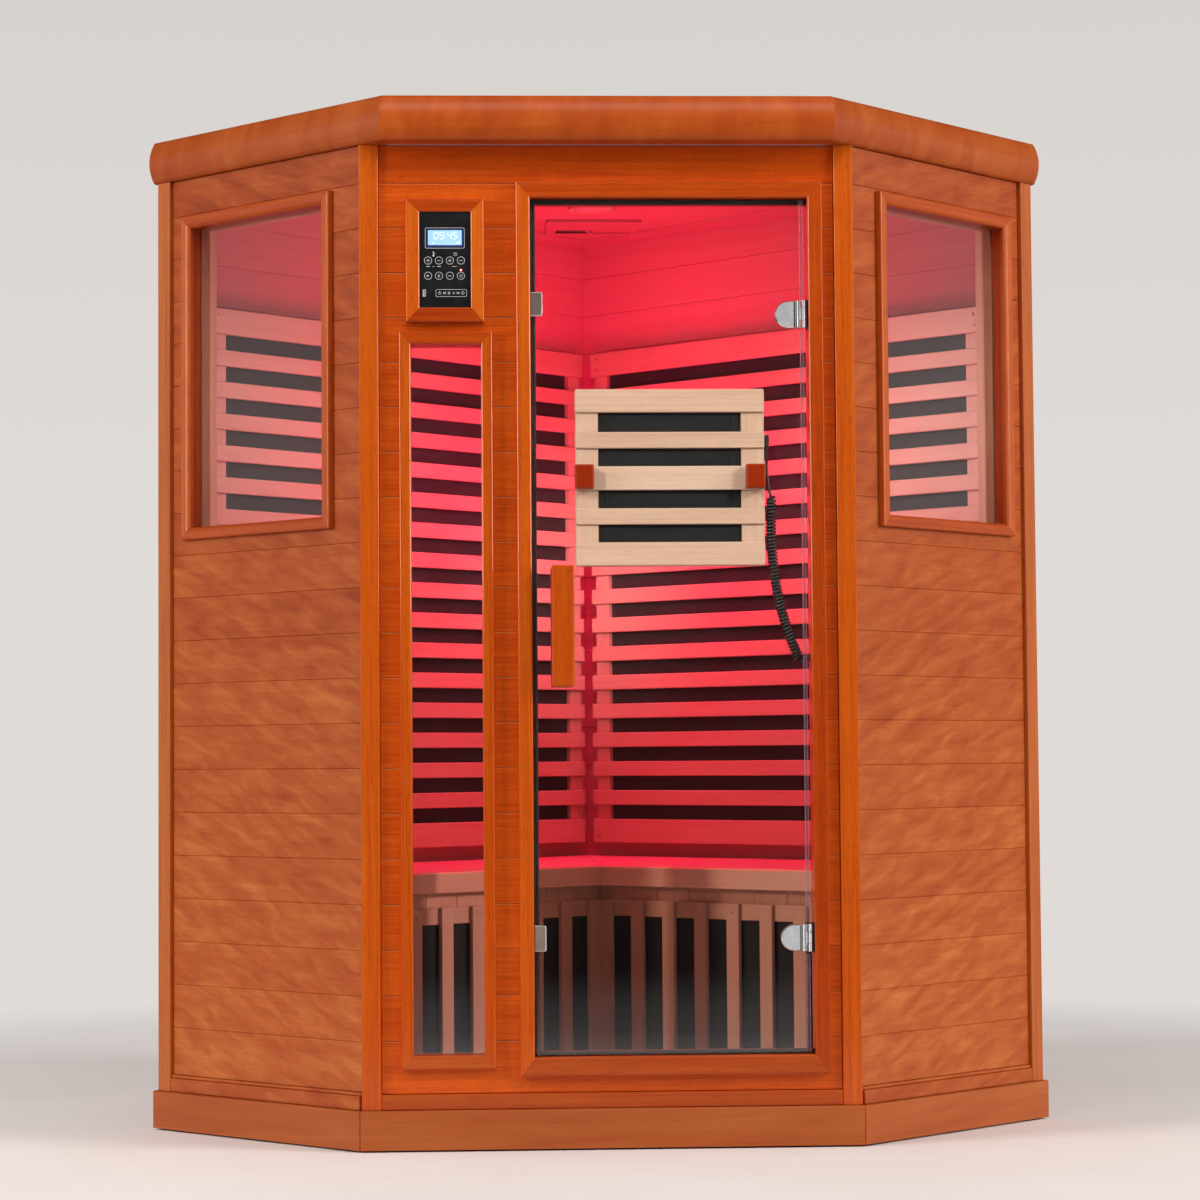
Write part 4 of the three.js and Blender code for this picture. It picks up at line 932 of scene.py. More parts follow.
# ------------------------------------------------------------------ back heaters
G1, GZ0, GZ1, WIDE, SLAT, COUNT = 1129.0, 519.0, 1570.0, 50.0, 31.4, 15
GAP_Z = (GZ1 - GZ0 - 2 * WIDE - COUNT * SLAT) / (COUNT + 1)
for tag, pl, G0, stile in (("left", BL, 94.0, (93.0, 129.0)), ("right", BR, 108.0, (111.0, 148.0))):
    w = Work(f"back_slats_{tag}", m_slat_reddened, slot="hemlock", replaces=(f"back_grille_{tag}",))
    for u0, u1 in (stile, (G1 - 36, G1 - 3)):
        w.board(pl, (u0, u1), (58.0, 79.8), (GZ0 + 6, GZ1 - 6), 2.0, "z", 0.0)
    bands = [(GZ0, GZ0 + WIDE), (GZ1 - WIDE, GZ1)]
    bands += [(GZ0 + WIDE + GAP_Z + k * (SLAT + GAP_Z), GZ0 + WIDE + GAP_Z + k * (SLAT + GAP_Z) + SLAT) for k in range(COUNT)]
    for a, b in bands:
        w.board(pl, (G0, G1), (80.0, 90.0), (a, b), 2.6, "x", 0.0, 4)
    w.done()
    w = Work(f"back_slat_screws_{tag}", m_brass, slot="polished_steel")
    for u in (G0 + 18, G1 - 9):
        for z in (GZ0 + 14, GZ0 + 36, GZ1 - 14, GZ1 - 36):
            screw(w, pl, u, 90.0, z, "y", 3.4, m_brass, 1.0)
    for u in (stile[0] + 12, G1 - 2):
        for z in (GZ0 + WIDE + 14, GZ1 - WIDE - 14):
            screw(w, pl, u, 79.8, z, "y", 3.0, m_brass, 1.0)
    w.done()
    w = Work(f"back_carbon_{tag}", m_carbon_back_lit, slot="carbon_heater", replaces=(f"back_heater_{tag}",))
    w.board(pl, (108, 1117), (50.4, 69.0), (532, 1557), 1.2, "x")
    for z in (545, 1544):
        w.board(pl, (120, 1105), (68.8, 70.0), (z - 4, z + 4), 0.5, "x")
    w.done()

# ------------------------------------------------------------------ bench
BENCH_D, SEAT_TOP, SEAT_T, APRON_Z0 = 540.0, 490.0, 22.0, 451.0
w = Work("bench_seat_boards", m_lining_reddened, slot="hemlock", replaces=("bench_seat",))
edges = [50.6, 142.0, 235.0, 328.0, 421.0, 514.0]
for pl in (BL, BR):
    for a, b in zip(edges, edges[1:]):
        a, b = a + (0 if a < 60 else 3.0), b - 3.0
        poly = [(a + 0.3, a), (END - 0.3, a), (END - 0.3, b), (b + 0.3, b)]
        w.prism(pl, eased(poly, [0, 0, 1.5, 1.5]), "z", SEAT_TOP - SEAT_T + 0.2, SEAT_TOP, 0.8, 2.2, "x", 0.0)
    for u in (170.0, 420.0, 690.0, 960.0):
        w.board(pl, (u, u + 45.0), (60.0, 510.0), (447.0, 467.8), 1.2, "y", -0.05)
w.done()

for tag, pl in (("left", BL), ("right", BR)):
    w = Work(f"bench_apron_{tag}", m_bench_shaded, slot="hemlock")
    poly = [(514.3, 514.0), (END - 0.3, 514.0), (END - 0.3, BENCH_D), (BENCH_D + 0.3, BENCH_D)]
    w.prism(pl, eased(poly, [0, 0, 2.0, 1.0], 4), "z", APRON_Z0, SEAT_TOP, 1.5, 2.6, "x", 0.0)
    w.done()

for tag, pl in (("left", BL), ("right", BR)):
    w = Work(f"bench_front_boards_{tag}", m_bench_shaded, slot="hemlock", replaces=("bench_front",) if tag == "left" else ())
    u = 515.0
    first = True
    while u < END - 10:
        v = min(u + (69.5 if first else 80.8), END - 0.3)
        poly = [(u + 0.25, 501.0), (v - 0.25, 501.0), (v - 0.25, 515.0), (u + 0.25, 515.0)]
        if first:
            poly[0] = (501.3, 501.0)
            poly[3] = (515.3, 515.0)
        w.prism(pl, eased(poly, [0, 0, 1.6, 0 if first else 1.6], 1), "z", Z0, SEAT_TOP - SEAT_T - 0.3, 0.4, 0.4, "z", -0.02)
        first = False
        u = v
    w.done()

LEG_U0, LEG_P, LEG_W, LEG_N, LEG_Z0, LEG_Z1, LEG_RAIL, LEG_D = 533.5, 80.6, 30.0, 8, 90.0, 424.0, 31.0, 515.0
for tag, pl in (("left", BL), ("right", BR)):
    end = LEG_U0 + (LEG_N - 1) * LEG_P + LEG_W
    w = Work(f"leg_slats_{tag}", m_leg_shaded, slot="hemlock", replaces=(f"leg_grille_{tag}",))
    for a, b in ((LEG_Z1 - LEG_RAIL, LEG_Z1), (LEG_Z0, LEG_Z0 + LEG_RAIL)):
        w.board(pl, (LEG_U0 - 5, end + 2), (LEG_D + 4.9, LEG_D + 9.9), (a, b), 1.2, "x", -0.06)
    for k in range(LEG_N):
        u = LEG_U0 + k * LEG_P
        w.board(pl, (u, u + LEG_W), (LEG_D + 10, LEG_D + 20), (LEG_Z0, LEG_Z1), 1.6, "z", 0.0, 4)
    w.done()
    w = Work(f"leg_screws_{tag}", m_brass, slot="polished_steel")
    for k in range(LEG_N):
        for z in (LEG_Z0 + LEG_RAIL / 2, LEG_Z1 - LEG_RAIL / 2):
            screw(w, pl, LEG_U0 + k * LEG_P + LEG_W / 2, LEG_D + 20.0, z, "y", 2.4, m_brass, 1.0)
    w.done()
    w = Work(f"leg_carbon_{tag}", m_carbon_leg_lit, slot="carbon_heater", replaces=(f"leg_heater_{tag}",))
    w.board(pl, (LEG_U0 - 4, end - 2), (LEG_D + 0.4, LEG_D + 4.6), (LEG_Z0 + 6, LEG_Z1 - 6), 1.0, "x")
    w.done()

# ------------------------------------------------------------------ roof
w = Work("ceiling_panel", m_lining_reddened, slot="hemlock", replaces=("roof_panel",))
PANEL_TOP = WALL_TOP + 22.0
lamp_hole = circle(0, 660, 35, 36)
slot_hole = rect(-65, -1, 906, 947)
w.plate(CAB, outline(7.6, -36.8, -12.2), [lamp_hole, slot_hole], WALL_TOP + 0.2, PANEL_TOP, "z", "x", 0.0)
# Border strips where the ceiling meets the walls.
ob, ib = outline(-50.3, -50.3, -50.3), outline(-134, -134, -134)
for k in range(5):
    p, q = ob[k], ob[(k + 1) % 5]
    pl = side_place(p, q)
    n = math.hypot(q[0] - p[0], q[1] - p[1])

    def local(pt, pl=pl):
        dx, dy = pt[0] - pl.o[0], pt[1] - pl.o[1]
        return (dx * pl.c + dy * pl.s, -dx * pl.s + dy * pl.c)

    a, b = local(ib[(k + 1) % 5]), local(ib[k])
    w.prism(pl, [(0.15, 0.0), (n - 0.15, 0.0), (a[0] - 0.15, a[1]), (b[0] + 0.15, b[1])], "z", WALL_TOP - 5.0, WALL_TOP + 0.1, 1.2, 0, "x", 0.0)
w.done()

w = Work("roof_back_boards", m_roof, slot="stained_wood")
ro, ri = outline(7.6, -36.8, ROOF_BACK_OUT), outline(7.6, -36.8, -12.0)
for k in (2, 3):
    p, q = ro[k], ro[k + 1]
    pl = side_place(p, q)
    n = math.hypot(q[0] - p[0], q[1] - p[1])
    dx, dy = ri[3][0] - pl.o[0], ri[3][1] - pl.o[1]
    mid = (dx * pl.c + dy * pl.s, -dx * pl.s + dy * pl.c)
    if k == 2:
        poly = [(0.0, 0.0), (n - 0.15, 0.0), (mid[0] - 0.15, 20.0), (0.0, 20.0)]
    else:
        poly = [(0.15, 0.0), (n, 0.0), (n, 20.0), (mid[0] + 0.15, 20.0)]
    w.prism(pl, eased(poly, 1.2), "z", WALL_TOP + 0.2, TOTAL_H, 1.5, 2.0, "x", 0.0)
w.done()

# Rounded mouldings, mitred at the front corners.
prof = [(-ROOF_MOULD_T, WALL_TOP), (-6.0, WALL_TOP), (-2.0, WALL_TOP + 0.3), (0.4, WALL_TOP + 1.2)]
for k in range(1, 20):
    t = 0.03 + 0.94 * k / 20
    prof.append((ROOF_BULGE * (1 - (2 * t - 1) ** 2) - 1.5 * t, WALL_TOP + (TOTAL_H - WALL_TOP) * t))
prof += [(-1.0, TOTAL_H - 1.0), (-3.6, TOTAL_H), (-ROOF_MOULD_T, TOTAL_H)]
for tag, k in (("front", 0), ("right", 1), ("left", 4)):
    w = Work(f"roof_cornice_{tag}", m_roof_front if tag == "front" else m_roof, slot="stained_wood", replaces=(f"roof_moulding_{tag}",))
    a0, b0 = outline(ROOF_FRONT_OUT, ROOF_WING_OUT, ROOF_BACK_OUT)[k], outline(ROOF_FRONT_OUT, ROOF_WING_OUT, ROOF_BACK_OUT)[(k + 1) % 5]
    pl = side_place(a0, b0)
    w.begin(pl, "x", 0.06 if tag == "front" else -0.05)
    ra, rb = [], []
    for d, z in prof:
        c = outline(ROOF_FRONT_OUT + d, ROOF_WING_OUT + d, ROOF_BACK_OUT)
        for src, dst, s in ((c[k], ra, 0.12), (c[(k + 1) % 5], rb, -0.12)):
            dx, dy = src[0] - pl.o[0], src[1] - pl.o[1]
            dst.append((dx * pl.c + dy * pl.s + s, -dx * pl.s + dy * pl.c, z))
    steps = 1
    ids = w.loft([ra, rb], 0, True)
    ob = w.done()
    # Only the round face is smooth.
    me = ob.data
    flat = [abs(p.normal.z) > 0.97 or len(p.vertices) > 4 for p in me.polygons]
    me.polygons.foreach_set("use_smooth", [not f for f in flat])
    me.set_sharp_from_angle(angle=math.radians(40))

w = Work("roof_cover_sheet", m_sheet, slot="dust_sheet", replaces=("roof_dust_cover",))
cover = outline(7.4, -37.0, -12.6)
w.plate(CAB, cover, [circle(60, 1035, 14, 28), slot_hole], TOTAL_H - 12.0, TOTAL_H - 9.0)
for x in (-420.0, -210.0, 210.0, 420.0):
    poly = clip(rect(x - 16, x + 16, 40, 1150), inset(cover, 40))
    if len(poly) > 2:
        w.prism(CAB, poly, "z", TOTAL_H - 9.2, TOTAL_H - 6.4, 0, 2.2)
rim_in = inset(cover, 18)
for k in range(5):
    p, q, a, b = cover[k], cover[(k + 1) % 5], rim_in[(k + 1) % 5], rim_in[k]
    w.prism(CAB, [p, q, a, b], "z", TOTAL_H - 9.1, TOTAL_H - 7.2, 0, 0.8)
w.done()
w = Work("roof_cover_screws", m_steel, slot="polished_steel")
mid = inset(cover, 9)
for k in range(5):
    p, q = mid[k], mid[(k + 1) % 5]
    n = max(3, int(math.hypot(q[0] - p[0], q[1] - p[1]) / 190))
    for j in range(n):
        t = (j + 0.5) / n
        screw(w, CAB, p[0] + (q[0] - p[0]) * t, p[1] + (q[1] - p[1]) * t, TOTAL_H - 7.1, "z", 4.0, m_steel, 1.0)
w.done()

w = Work("power_box", m_black, slot="black_plastic", replaces=("power_supply_box",))
w.prism(CAB, eased(rect(-110, 110, 987, 1083), 6, 4), "z", PANEL_TOP + 0.4, PANEL_TOP + 30, 1.0, 0)
w.prism(CAB, eased(rect(-109, 109, 988, 1082), 6, 4), "z", PANEL_TOP + 30.6, PANEL_TOP + 41.5, 0, 2.0)
w.lathe(CAB, (60, 1035), "z", [(0.5, PANEL_TOP + 40.5), (12.5, PANEL_TOP + 40.5), (12.5, PANEL_TOP + 42.0), (10.8, PANEL_TOP + 42.4), (10.8, TOTAL_H - 9.0), (9.6, TOTAL_H - 5.0),
                                (8.0, TOTAL_H - 1.6), (6.6, TOTAL_H - 1.2), (5.0, TOTAL_H - 1.6), (4.6, TOTAL_H - 6.0), (0.5, TOTAL_H - 6.0)], 24)
w.done()

# ------------------------------------------------------------------ ceiling lamp and vent
w = Work("lamp_ring", m_hem, slot="lamp_lens", replaces=("ceiling_lamp",))
w.lathe(CAB, (0, 660), "z", [(32.0, 1810.6), (32.0, 1808.4), (34.5, 1805.6), (38.0, 1804.0), (42.0, 1804.6), (44.4, 1807.0), (44.9, 1810.6)], 48, None, True)
w.lathe(CAB, (0, 660), "z", [(0.5, 1804.4), (14.0, 1804.6), (24.0, 1805.6), (32.6, 1808.0), (33.0, 1836.0), (0.5, 1836.0)], 48, m_lens, True)
w.done()

w = Work("vent_frame_boards", m_lining_reddened, slot="hemlock", replaces=("vent_frame",))
w.plate(CAB, eased(rect(-87, 109, 805, 975), 4, 4), [rect(-65, 93, 908, 945)], 1806.2, 1807.3)
w.plate(CAB, eased(rect(-86.4, 108.4, 805.6, 974.4), 4, 4), [rect(-65.5, 93.5, 904, 949)], 1807.2, 1811.0)
w.plate(CAB, eased(rect(-86.2, 108.2, 805.8, 974.2), 3.6, 4), [rect(-66, 94, 907, 946)], 1805.6, 1806.3)
w.done()
# Inside of the vent slot, in the dark red material: painted shade in the duct.
w = Work("vent_duct", m_duct_shade, slot="black_plastic")
w.board(CAB, (-64.8, 92.8), (943.9, 944.9), (1805.9, 1807.2), 0.2, "x")
w.board(CAB, (-65.2, 93.2), (948.5, 948.95), (1807.4, 1810.9), 0.1, "x")
w.board(CAB, (-64.8, -2.0), (945.8, 946.8), (1811.3, 1832.8), 0.2, "x")
w.board(CAB, (-64.8, -63.8), (906.4, 945.6), (1811.3, 1832.8), 0.2, "y")
for k in range(12):
    w.board(CAB, (-62.6 + k * 5.2, -61.6 + k * 5.2), (907.0, 945.6), (1826.0, 1827.0), 0.2, "y")
for k in range(6):
    w.board(CAB, (-63.6, -2.0), (911.0 + k * 5.6, 912.0 + k * 5.6), (1827.1, 1828.1), 0.2, "x")
w.done()
# Thin darker rings round the vent frame and the lamp ring: painted shadow lines at their edges.
w = Work("ceiling_gaps", m_ceiling_shadow, slot="hemlock")
for big, small in ((eased(rect(-88.4, 110.4, 803.6, 976.4), 5, 4), eased(rect(-87.3, 109.3, 804.7, 975.3), 4.4, 4)), (circle(0, 660, 48.4, 48), circle(0, 660, 45.2, 48))):
    w.plate(CAB, big, [small], 1809.6, 1811.0)
w.done()
w = Work("vent_slide_plate", m_lining_reddened, body="vent_shutter", slot="hemlock", replaces=("vent_shutter",))
w.board(CAB, (-1.0, 93.0), (904.6, 948.2), (1807.6, 1810.4), 0.8, "x", 0.1)
w.lathe(CAB, (9, 926.5), "z", [(0.4, 1800.2), (3.4, 1800.2), (5.4, 1801.0), (6.0, 1802.6), (5.2, 1804.4), (3.6, 1805.6), (3.6, 1808.0), (0.4, 1808.0)], 24, None, True)
w.done()

# ------------------------------------------------------------------ control panel
w = Work("control_casing", m_trim, slot="stained_wood", replaces=("control_frame",))
w.picture_frame(CAB, CTRL_OUT, CTRL_IN, CASING, (0.0, 0.62, -0.02, 0.62))
w.done()

PX0, PX1, PZ0, PZ1, FACE = -339.0, -247.0, 1514.0, 1687.0, -4.0
BUTTON_X, BUTTON_Z, BR_R = (-323.7, -304.1, -284.3, -264.4), (1599.0, 1571.2), 7.2
w = Work("control_face", m_black, slot="black_plastic", replaces=("control_housing",))
holes = [circle(x, z, BR_R + 0.5, 36) for z in BUTTON_Z for x in BUTTON_X]
holes.append(rect(-326.4, -260.2, 1623.9, 1656.1))
holes.append(eased(rect(-333.7, -327.6, 1533.4, 1546.6), 0.8, 2))
holes.append(circle(-316.0, 1539.0, 1.5, 16))
holes.append(circle(-264.4, 1580.6, 1.6, 16))
w.plate(CAB, eased(rect(PX0 + 0.2, PX1 - 0.2, PZ0 + 0.2, PZ1 - 0.2), 2.5, 4), holes, FACE, 2.0, "y")
w.prism(CAB, eased(rect(PX0 + 1.5, PX1 - 1.5, PZ0 + 1.5, PZ1 - 1.5), 3, 3), "y", 8.0, 35.6, 0, 1.5)
for a, b, c, d in ((PX0 + 1.5, PX0 + 3.5, PZ0 + 1.5, PZ1 - 1.5), (PX1 - 3.5, PX1 - 1.5, PZ0 + 1.5, PZ1 - 1.5),
                   (PX0 + 3.6, PX1 - 3.6, PZ0 + 1.5, PZ0 + 3.5), (PX0 + 3.6, PX1 - 3.6, PZ1 - 3.5, PZ1 - 1.5)):
    w.prism(CAB, rect(a, b, c, d), "y", 2.1, 7.9)
w.done()


def outline_ring(work, poly_out, poly_in, y0, y1, mat):
    """A thin raised line between two outlines with the same number of points."""
    work.begin(CAB, "x")
    m = work.mat(mat)
    n = len(poly_out)
    ids = []
    for poly, y in ((poly_out, y1), (poly_out, y0), (poly_in, y0), (poly_in, y1)):
        ids.append([work.point(p[0], y, p[1]) for p in poly])
    for a, b in ((0, 1), (1, 2), (2, 3), (3, 0)):
        for k in range(n):
            work.face((ids[a][k], ids[a][(k + 1) % n], ids[b][(k + 1) % n], ids[b][k]), m)


def line_of(work, place_y, pts, wdt, mat, y0, y1):
    """Printed stroke along a polyline, as one flat bar per length."""
    m = mat
    for (xa, za), (xb, zb) in zip(pts, pts[1:]):
        d = Vector((xb - xa, zb - za))
        if d.length < 1e-6:
            continue
        u = d.normalized()
        nrm = Vector((-u.y, u.x)) * (wdt / 2)
        a, b = Vector((xa, za)) - u * (wdt * 0.3), Vector((xb, zb)) + u * (wdt * 0.3)
        poly = [(a - nrm)[:], (b - nrm)[:], (b + nrm)[:], (a + nrm)[:]]
        work.prism(CAB, poly, "y", y0, y1, 0, 0, "x", 0, m)


PR0, PR1 = FACE - 0.12, FACE - 0.001
w = Work("control_print", m_print, slot="black_plastic")
frame_out = eased(rect(-328.9, -257.7, 1621.2, 1658.8), 2.6, 4)
outline_ring(w, frame_out, inset(frame_out, 0.7), PR0, PR1, m_print)
# Thermometer and clock marks above the buttons.
line_of(w, 0, [(-313.9, 1609.5), (-313.9, 1615.0)], 1.5, m_print, PR0, PR1)
w.prism(CAB, circle(-313.9, 1607.8, 1.6, 14), "y", PR0, PR1, 0, 0, "x", 0, m_print)
for dz in (0, 1.6, 3.2):
    line_of(w, 0, [(-312.2, 1610.5 + dz), (-311.0, 1610.5 + dz)], 0.4, m_print, PR0, PR1)
ring_o = circle(-274.4, 1610.6, 3.2, 24)
outline_ring(w, ring_o, inset(ring_o, 0.6), PR0, PR1, m_print)
line_of(w, 0, [(-274.4, 1610.6), (-274.4, 1612.6)], 0.5, m_print, PR0, PR1)
line_of(w, 0, [(-274.4, 1610.6), (-272.9, 1610.0)], 0.5, m_print, PR0, PR1)
for x in (-323.7, -304.1):
    line_of(w, 0, [(x - 3.0, 1588.4), (x + 3.0, 1588.4)], 1.1, m_print, PR0, PR1)
line_of(w, 0, [(-315.2, 1588.4), (-312.6, 1588.4)], 0.7, m_print, PR0, PR1)
line_of(w, 0, [(-281.0, 1588.2), (-271.5, 1588.2)], 0.6, m_print, PR0, PR1)
# Row of plain marks in a rounded outline, beside the socket.
pill = eased(rect(-310.0, -254.0, 1533.2, 1546.6), 2.4, 4)
outline_ring(w, pill, inset(pill, 0.6), PR0, PR1, m_print)
for j, x in enumerate((-303.0, -294.6, -286.2, -277.8, -269.4, -261.0)):
    z = 1539.9
    if j in (0, 5):
        c = circle(x, z, 2.8, 18)
        outline_ring(w, c, inset(c, 0.6), PR0, PR1, m_print)
        line_of(w, 0, [(x, z), (x, z + 3.4)], 0.6, m_print, PR0, PR1)
    elif j in (1, 4):
        s = 1 if j == 1 else -1
        w.prism(CAB, [(x - 1.6, z - 2.3), (x + 1.9, z), (x - 1.6, z + 2.3)] if s > 0 else [(x - 1.9, z), (x + 1.6, z - 2.3), (x + 1.6, z + 2.3)], "y", PR0, PR1, 0, 0, "x", 0, m_print)
        line_of(w, 0, [(x + 2.4 * s, z - 2.2), (x + 2.4 * s, z + 2.2)], 0.7, m_print, PR0, PR1)
    elif j == 2:
        line_of(w, 0, [(x - 1.2, z - 2.3), (x - 1.2, z + 2.3)], 1.0, m_print, PR0, PR1)
        line_of(w, 0, [(x + 1.2, z - 2.3), (x + 1.2, z + 2.3)], 1.0, m_print, PR0, PR1)
    else:
        line_of(w, 0, [(x - 2.2, z), (x + 2.2, z)], 0.8, m_print, PR0, PR1)
        line_of(w, 0, [(x, z - 2.2), (x, z + 2.2)], 0.8, m_print, PR0, PR1)
w.done()

w = Work("control_socket", m_steel, slot="polished_steel")
outer = eased(rect(-333.5, -327.8, 1533.6, 1546.4), 0.7, 2)
outline_ring(w, outer, inset(outer, 0.9), FACE - 0.3, 1.6, m_print)
w.prism(CAB, rect(-332.3, -330.3, 1534.8, 1545.2), "y", FACE + 0.9, 1.6, 0, 0, "x", 0, m_print)
for z in (1536.2, 1538.6, 1541.2, 1543.6):
    w.prism(CAB, rect(-330.8, -330.5, z, z + 1.0), "y", FACE + 1.0, 1.4, 0, 0, "x", 0, m_brass)
# Dark hole of the socket: painted shade.
w.prism(CAB, circle(-316.0, 1539.0, 1.4, 14), "y", -2.6, 1.8, 0, 0, "x", 0, m_shade_dark)
w.done()

w = Work("control_led", m_led, slot="display")
w.lathe(CAB, (-264.4, 1581.7), "y", [(0.1, -4.9), (0.8, -4.75), (1.35, -4.2), (1.45, -3.6), (1.45, 1.8), (0.1, 1.8)], 18, None, True)
# Glowing ring round the LED: painted glow.
w.lathe(CAB, (-264.4, 1581.7), "y", [(1.6, -4.05), (1.7, -4.3), (2.5, -4.25), (2.7, -4.05), (1.6, -4.05)], 24, m_led_glow, True)
w.done()

w = Work("control_lcd", m_lcd, slot="display", replaces=("control_display",))
w.prism(CAB, rect(-326.2, -260.4, 1624.1, 1655.9), "y", -2.6, 1.9, 0, 0, "x", 0, m_lcd_edge)
w.prism(CAB, eased(rect(-323.6, -262.8, 1627.4, 1654.4), 0.6, 2), "y", -3.3, -2.5, 0, 0, "x", 0, m_lcd)
SEGS = {"0": "abcdef", "9": "abcdfg", "4": "bcfg", "5": "acdfg"}


def digit(x, z, ch, wd=6.6, ht=12.0, t=1.5):
    """Seven bar digit; x, z is its lower left corner."""
    h = ht / 2
    bars = {"a": ((0, ht), (wd, ht)), "d": ((0, 0), (wd, 0)), "g": ((0, h), (wd, h)), "f": ((0, h), (0, ht)), "e": ((0, 0), (0, h)), "b": ((wd, h), (wd, ht)), "c": ((wd, 0), (wd, h))}
    for s in SEGS[ch]:
        (xa, za), (xb, zb) = bars[s]
        lean = 0.10
        d = Vector((xb - xa + lean * (zb - za), zb - za)).normalized() * 0.9
        p = Vector((x + xa + lean * za, z + za)) + d
        q = Vector((x + xb + lean * zb, z + zb)) - d
        nrm = Vector((-d.y, d.x)).normalized() * (t / 2)
        k = d.normalized() * (t / 2)
        w.prism(CAB, [(p + nrm * 0 - k * 0.6)[:], (p - nrm + k * 0.2)[:], (q - nrm - k * 0.2)[:], (q + k * 0.6)[:], (q + nrm - k * 0.2)[:], (p + nrm + k * 0.2)[:]], "y", -3.6, -3.29, 0, 0, "x", 0, m_digit)


for x, ch in ((-313.0, "0"), (-303.0, "9"), (-288.8, "4"), (-278.8, "5")):
    digit(x, 1638.6, ch)
for z in (1641.8, 1647.2):
    w.prism(CAB, circle(-292.4, z, 0.9, 12), "y", -3.6, -3.29, 0, 0, "x", 0, m_digit)
for j in range(4):
    w.prism(CAB, rect(-276.0 + j * 2.7, -274.4 + j * 2.7, 1629.4, 1630.6 + j * 1.5), "y", -3.6, -3.29, 0, 0, "x", 0, m_digit)
w.prism(CAB, rect(-317.0, -311.0, 1630.0, 1631.2), "y", -3.6, -3.29, 0, 0, "x", 0, m_digit)
w.done()

# Push buttons: a shallow dished cap with a printed ring and mark.
MARKS = ("plus", "minus", "plus", "minus", "speaker", "lamp", "leaf", "power")
for k in range(8):
    x, z = BUTTON_X[k % 4], BUTTON_Z[k // 4]
    w = Work(f"button_cap_{k + 1}", m_black, body=f"button_{k + 1}", slot="black_plastic", replaces=(f"control_button_{k + 1}",))
    w.lathe(CAB, (x, z), "y", [(0.2, -4.55), (4.6, -4.65), (6.2, -5.0), (6.8, -4.9), (7.15, -4.3), (7.15, 4.1), (0.2, 4.1)], 40, None, True)
    ring_o = circle(x, z, 6.95, 40)
    outline_ring(w, ring_o, inset(ring_o, 0.75), -5.08, -4.7, m_print)
    y0, y1 = -4.80, -4.5
    kind = MARKS[k]
    if kind in ("plus", "minus"):
        line_of(w, 0, [(x - 2.6, z), (x + 2.6, z)], 1.0, m_print, y0, y1)
        if kind == "plus":
            line_of(w, 0, [(x, z - 2.6), (x, z + 2.6)], 1.0, m_print, y0, y1)
    elif kind == "speaker":
        w.prism(CAB, [(x - 2.8, z - 0.9), (x - 1.5, z - 0.9), (x + 0.2, z - 2.2), (x + 0.2, z + 2.2), (x - 1.5, z + 0.9), (x - 2.8, z + 0.9)], "y", y0, y1, 0, 0, "x", 0, m_print)
        line_of(w, 0, [(x + 1.3, z - 1.3), (x + 1.8, z), (x + 1.3, z + 1.3)], 0.6, m_print, y0, y1)
    elif kind == "lamp":
        c = circle(x, z + 0.5, 1.9, 18)
        outline_ring(w, c, inset(c, 0.6), y0, y1, m_print)
        line_of(w, 0, [(x - 0.9, z - 2.2), (x + 0.9, z - 2.2)], 0.8, m_print, y0, y1)
    elif kind == "leaf":
        line_of(w, 0, [(x - 2.6, z - 0.8), (x - 1.2, z + 0.8), (x, z - 0.8), (x + 1.2, z + 0.8), (x + 2.6, z - 0.8)], 0.7, m_print, y0, y1)
    else:
        pts = [(x + 2.3 * math.cos(a), z - 0.2 + 2.3 * math.sin(a)) for a in [math.radians(125 + 290 * j / 12) for j in range(13)]]
        line_of(w, 0, pts, 0.7, m_print, y0, y1)
        line_of(w, 0, [(x, z), (x, z + 2.8)], 0.8, m_print, y0, y1)
    w.done()

# ------------------------------------------------------------------ door
GX0, GX1, GZA, GZB, GY0, GY1 = -136.5, 352.0, 168.0, 1711.0, 8.0, 14.0
HX = (-105.0 - 64.0) / 2
BLOCK_L, BLOCK_R, BZ0, BZ1 = (-61.0, -26.5), (248.5, 283.5), 1184.0, 1228.0
HINGES = {"upper": (1476.0, 1527.0), "lower": (348.5, 398.5)}
for node in ("door_glass", "narrow_window_glass", "side_window_glass_left", "side_window_glass_right"):
    ob = frame["nodes"][node]
    ob.data.materials.clear()
    ob.data.materials.append(m_glass if node.startswith("side") else m_door_glass)
    ob.modifiers.new("weld", "WELD").merge_threshold = 0.00001
    bev = ob.modifiers.new("arris", "BEVEL")
    bev.width, bev.segments, bev.limit_method, bev.angle_limit = 0.0006, 2, "ANGLE", math.radians(50)

for tag, y, node in (("outer", (-34.0, -12.0), "door_handle_outer"), ("inner", (32.0, 52.0), "door_handle_inner")):
    w = Work(f"handle_bar_{tag}", m_trim, body="door", slot="stained_wood", replaces=(node,))
    w.prism(CAB, eased(rect(-105.0, -64.0, y[0], y[1]), 4.5, 5), "z", 827.0, 1045.0, 2.5, 2.5, "z", 0.36)
    w.done()
    w = Work(f"handle_bolts_{tag}", m_steel, body="door", slot="polished_steel")
    for z in (868.0, 1004.0):
        if tag == "outer":
            w.lathe(CAB, (HX, z), "y", [(0.5, -12.2), (7.2, -12.2), (7.2, 3.6), (9.4, 4.2), (9.4, 7.4), (4.3, 7.7), (4.2, 14.6), (0.5, 14.6)], 28, None, True)
        else:
            w.lathe(CAB, (HX, z), "y", [(4.4, 14.3), (9.4, 14.4), (9.4, 17.6), (7.2, 18.2), (7.2, 32.2), (0.5, 32.2), (0.5, 14.9)], 28, None, True)
    w.done()

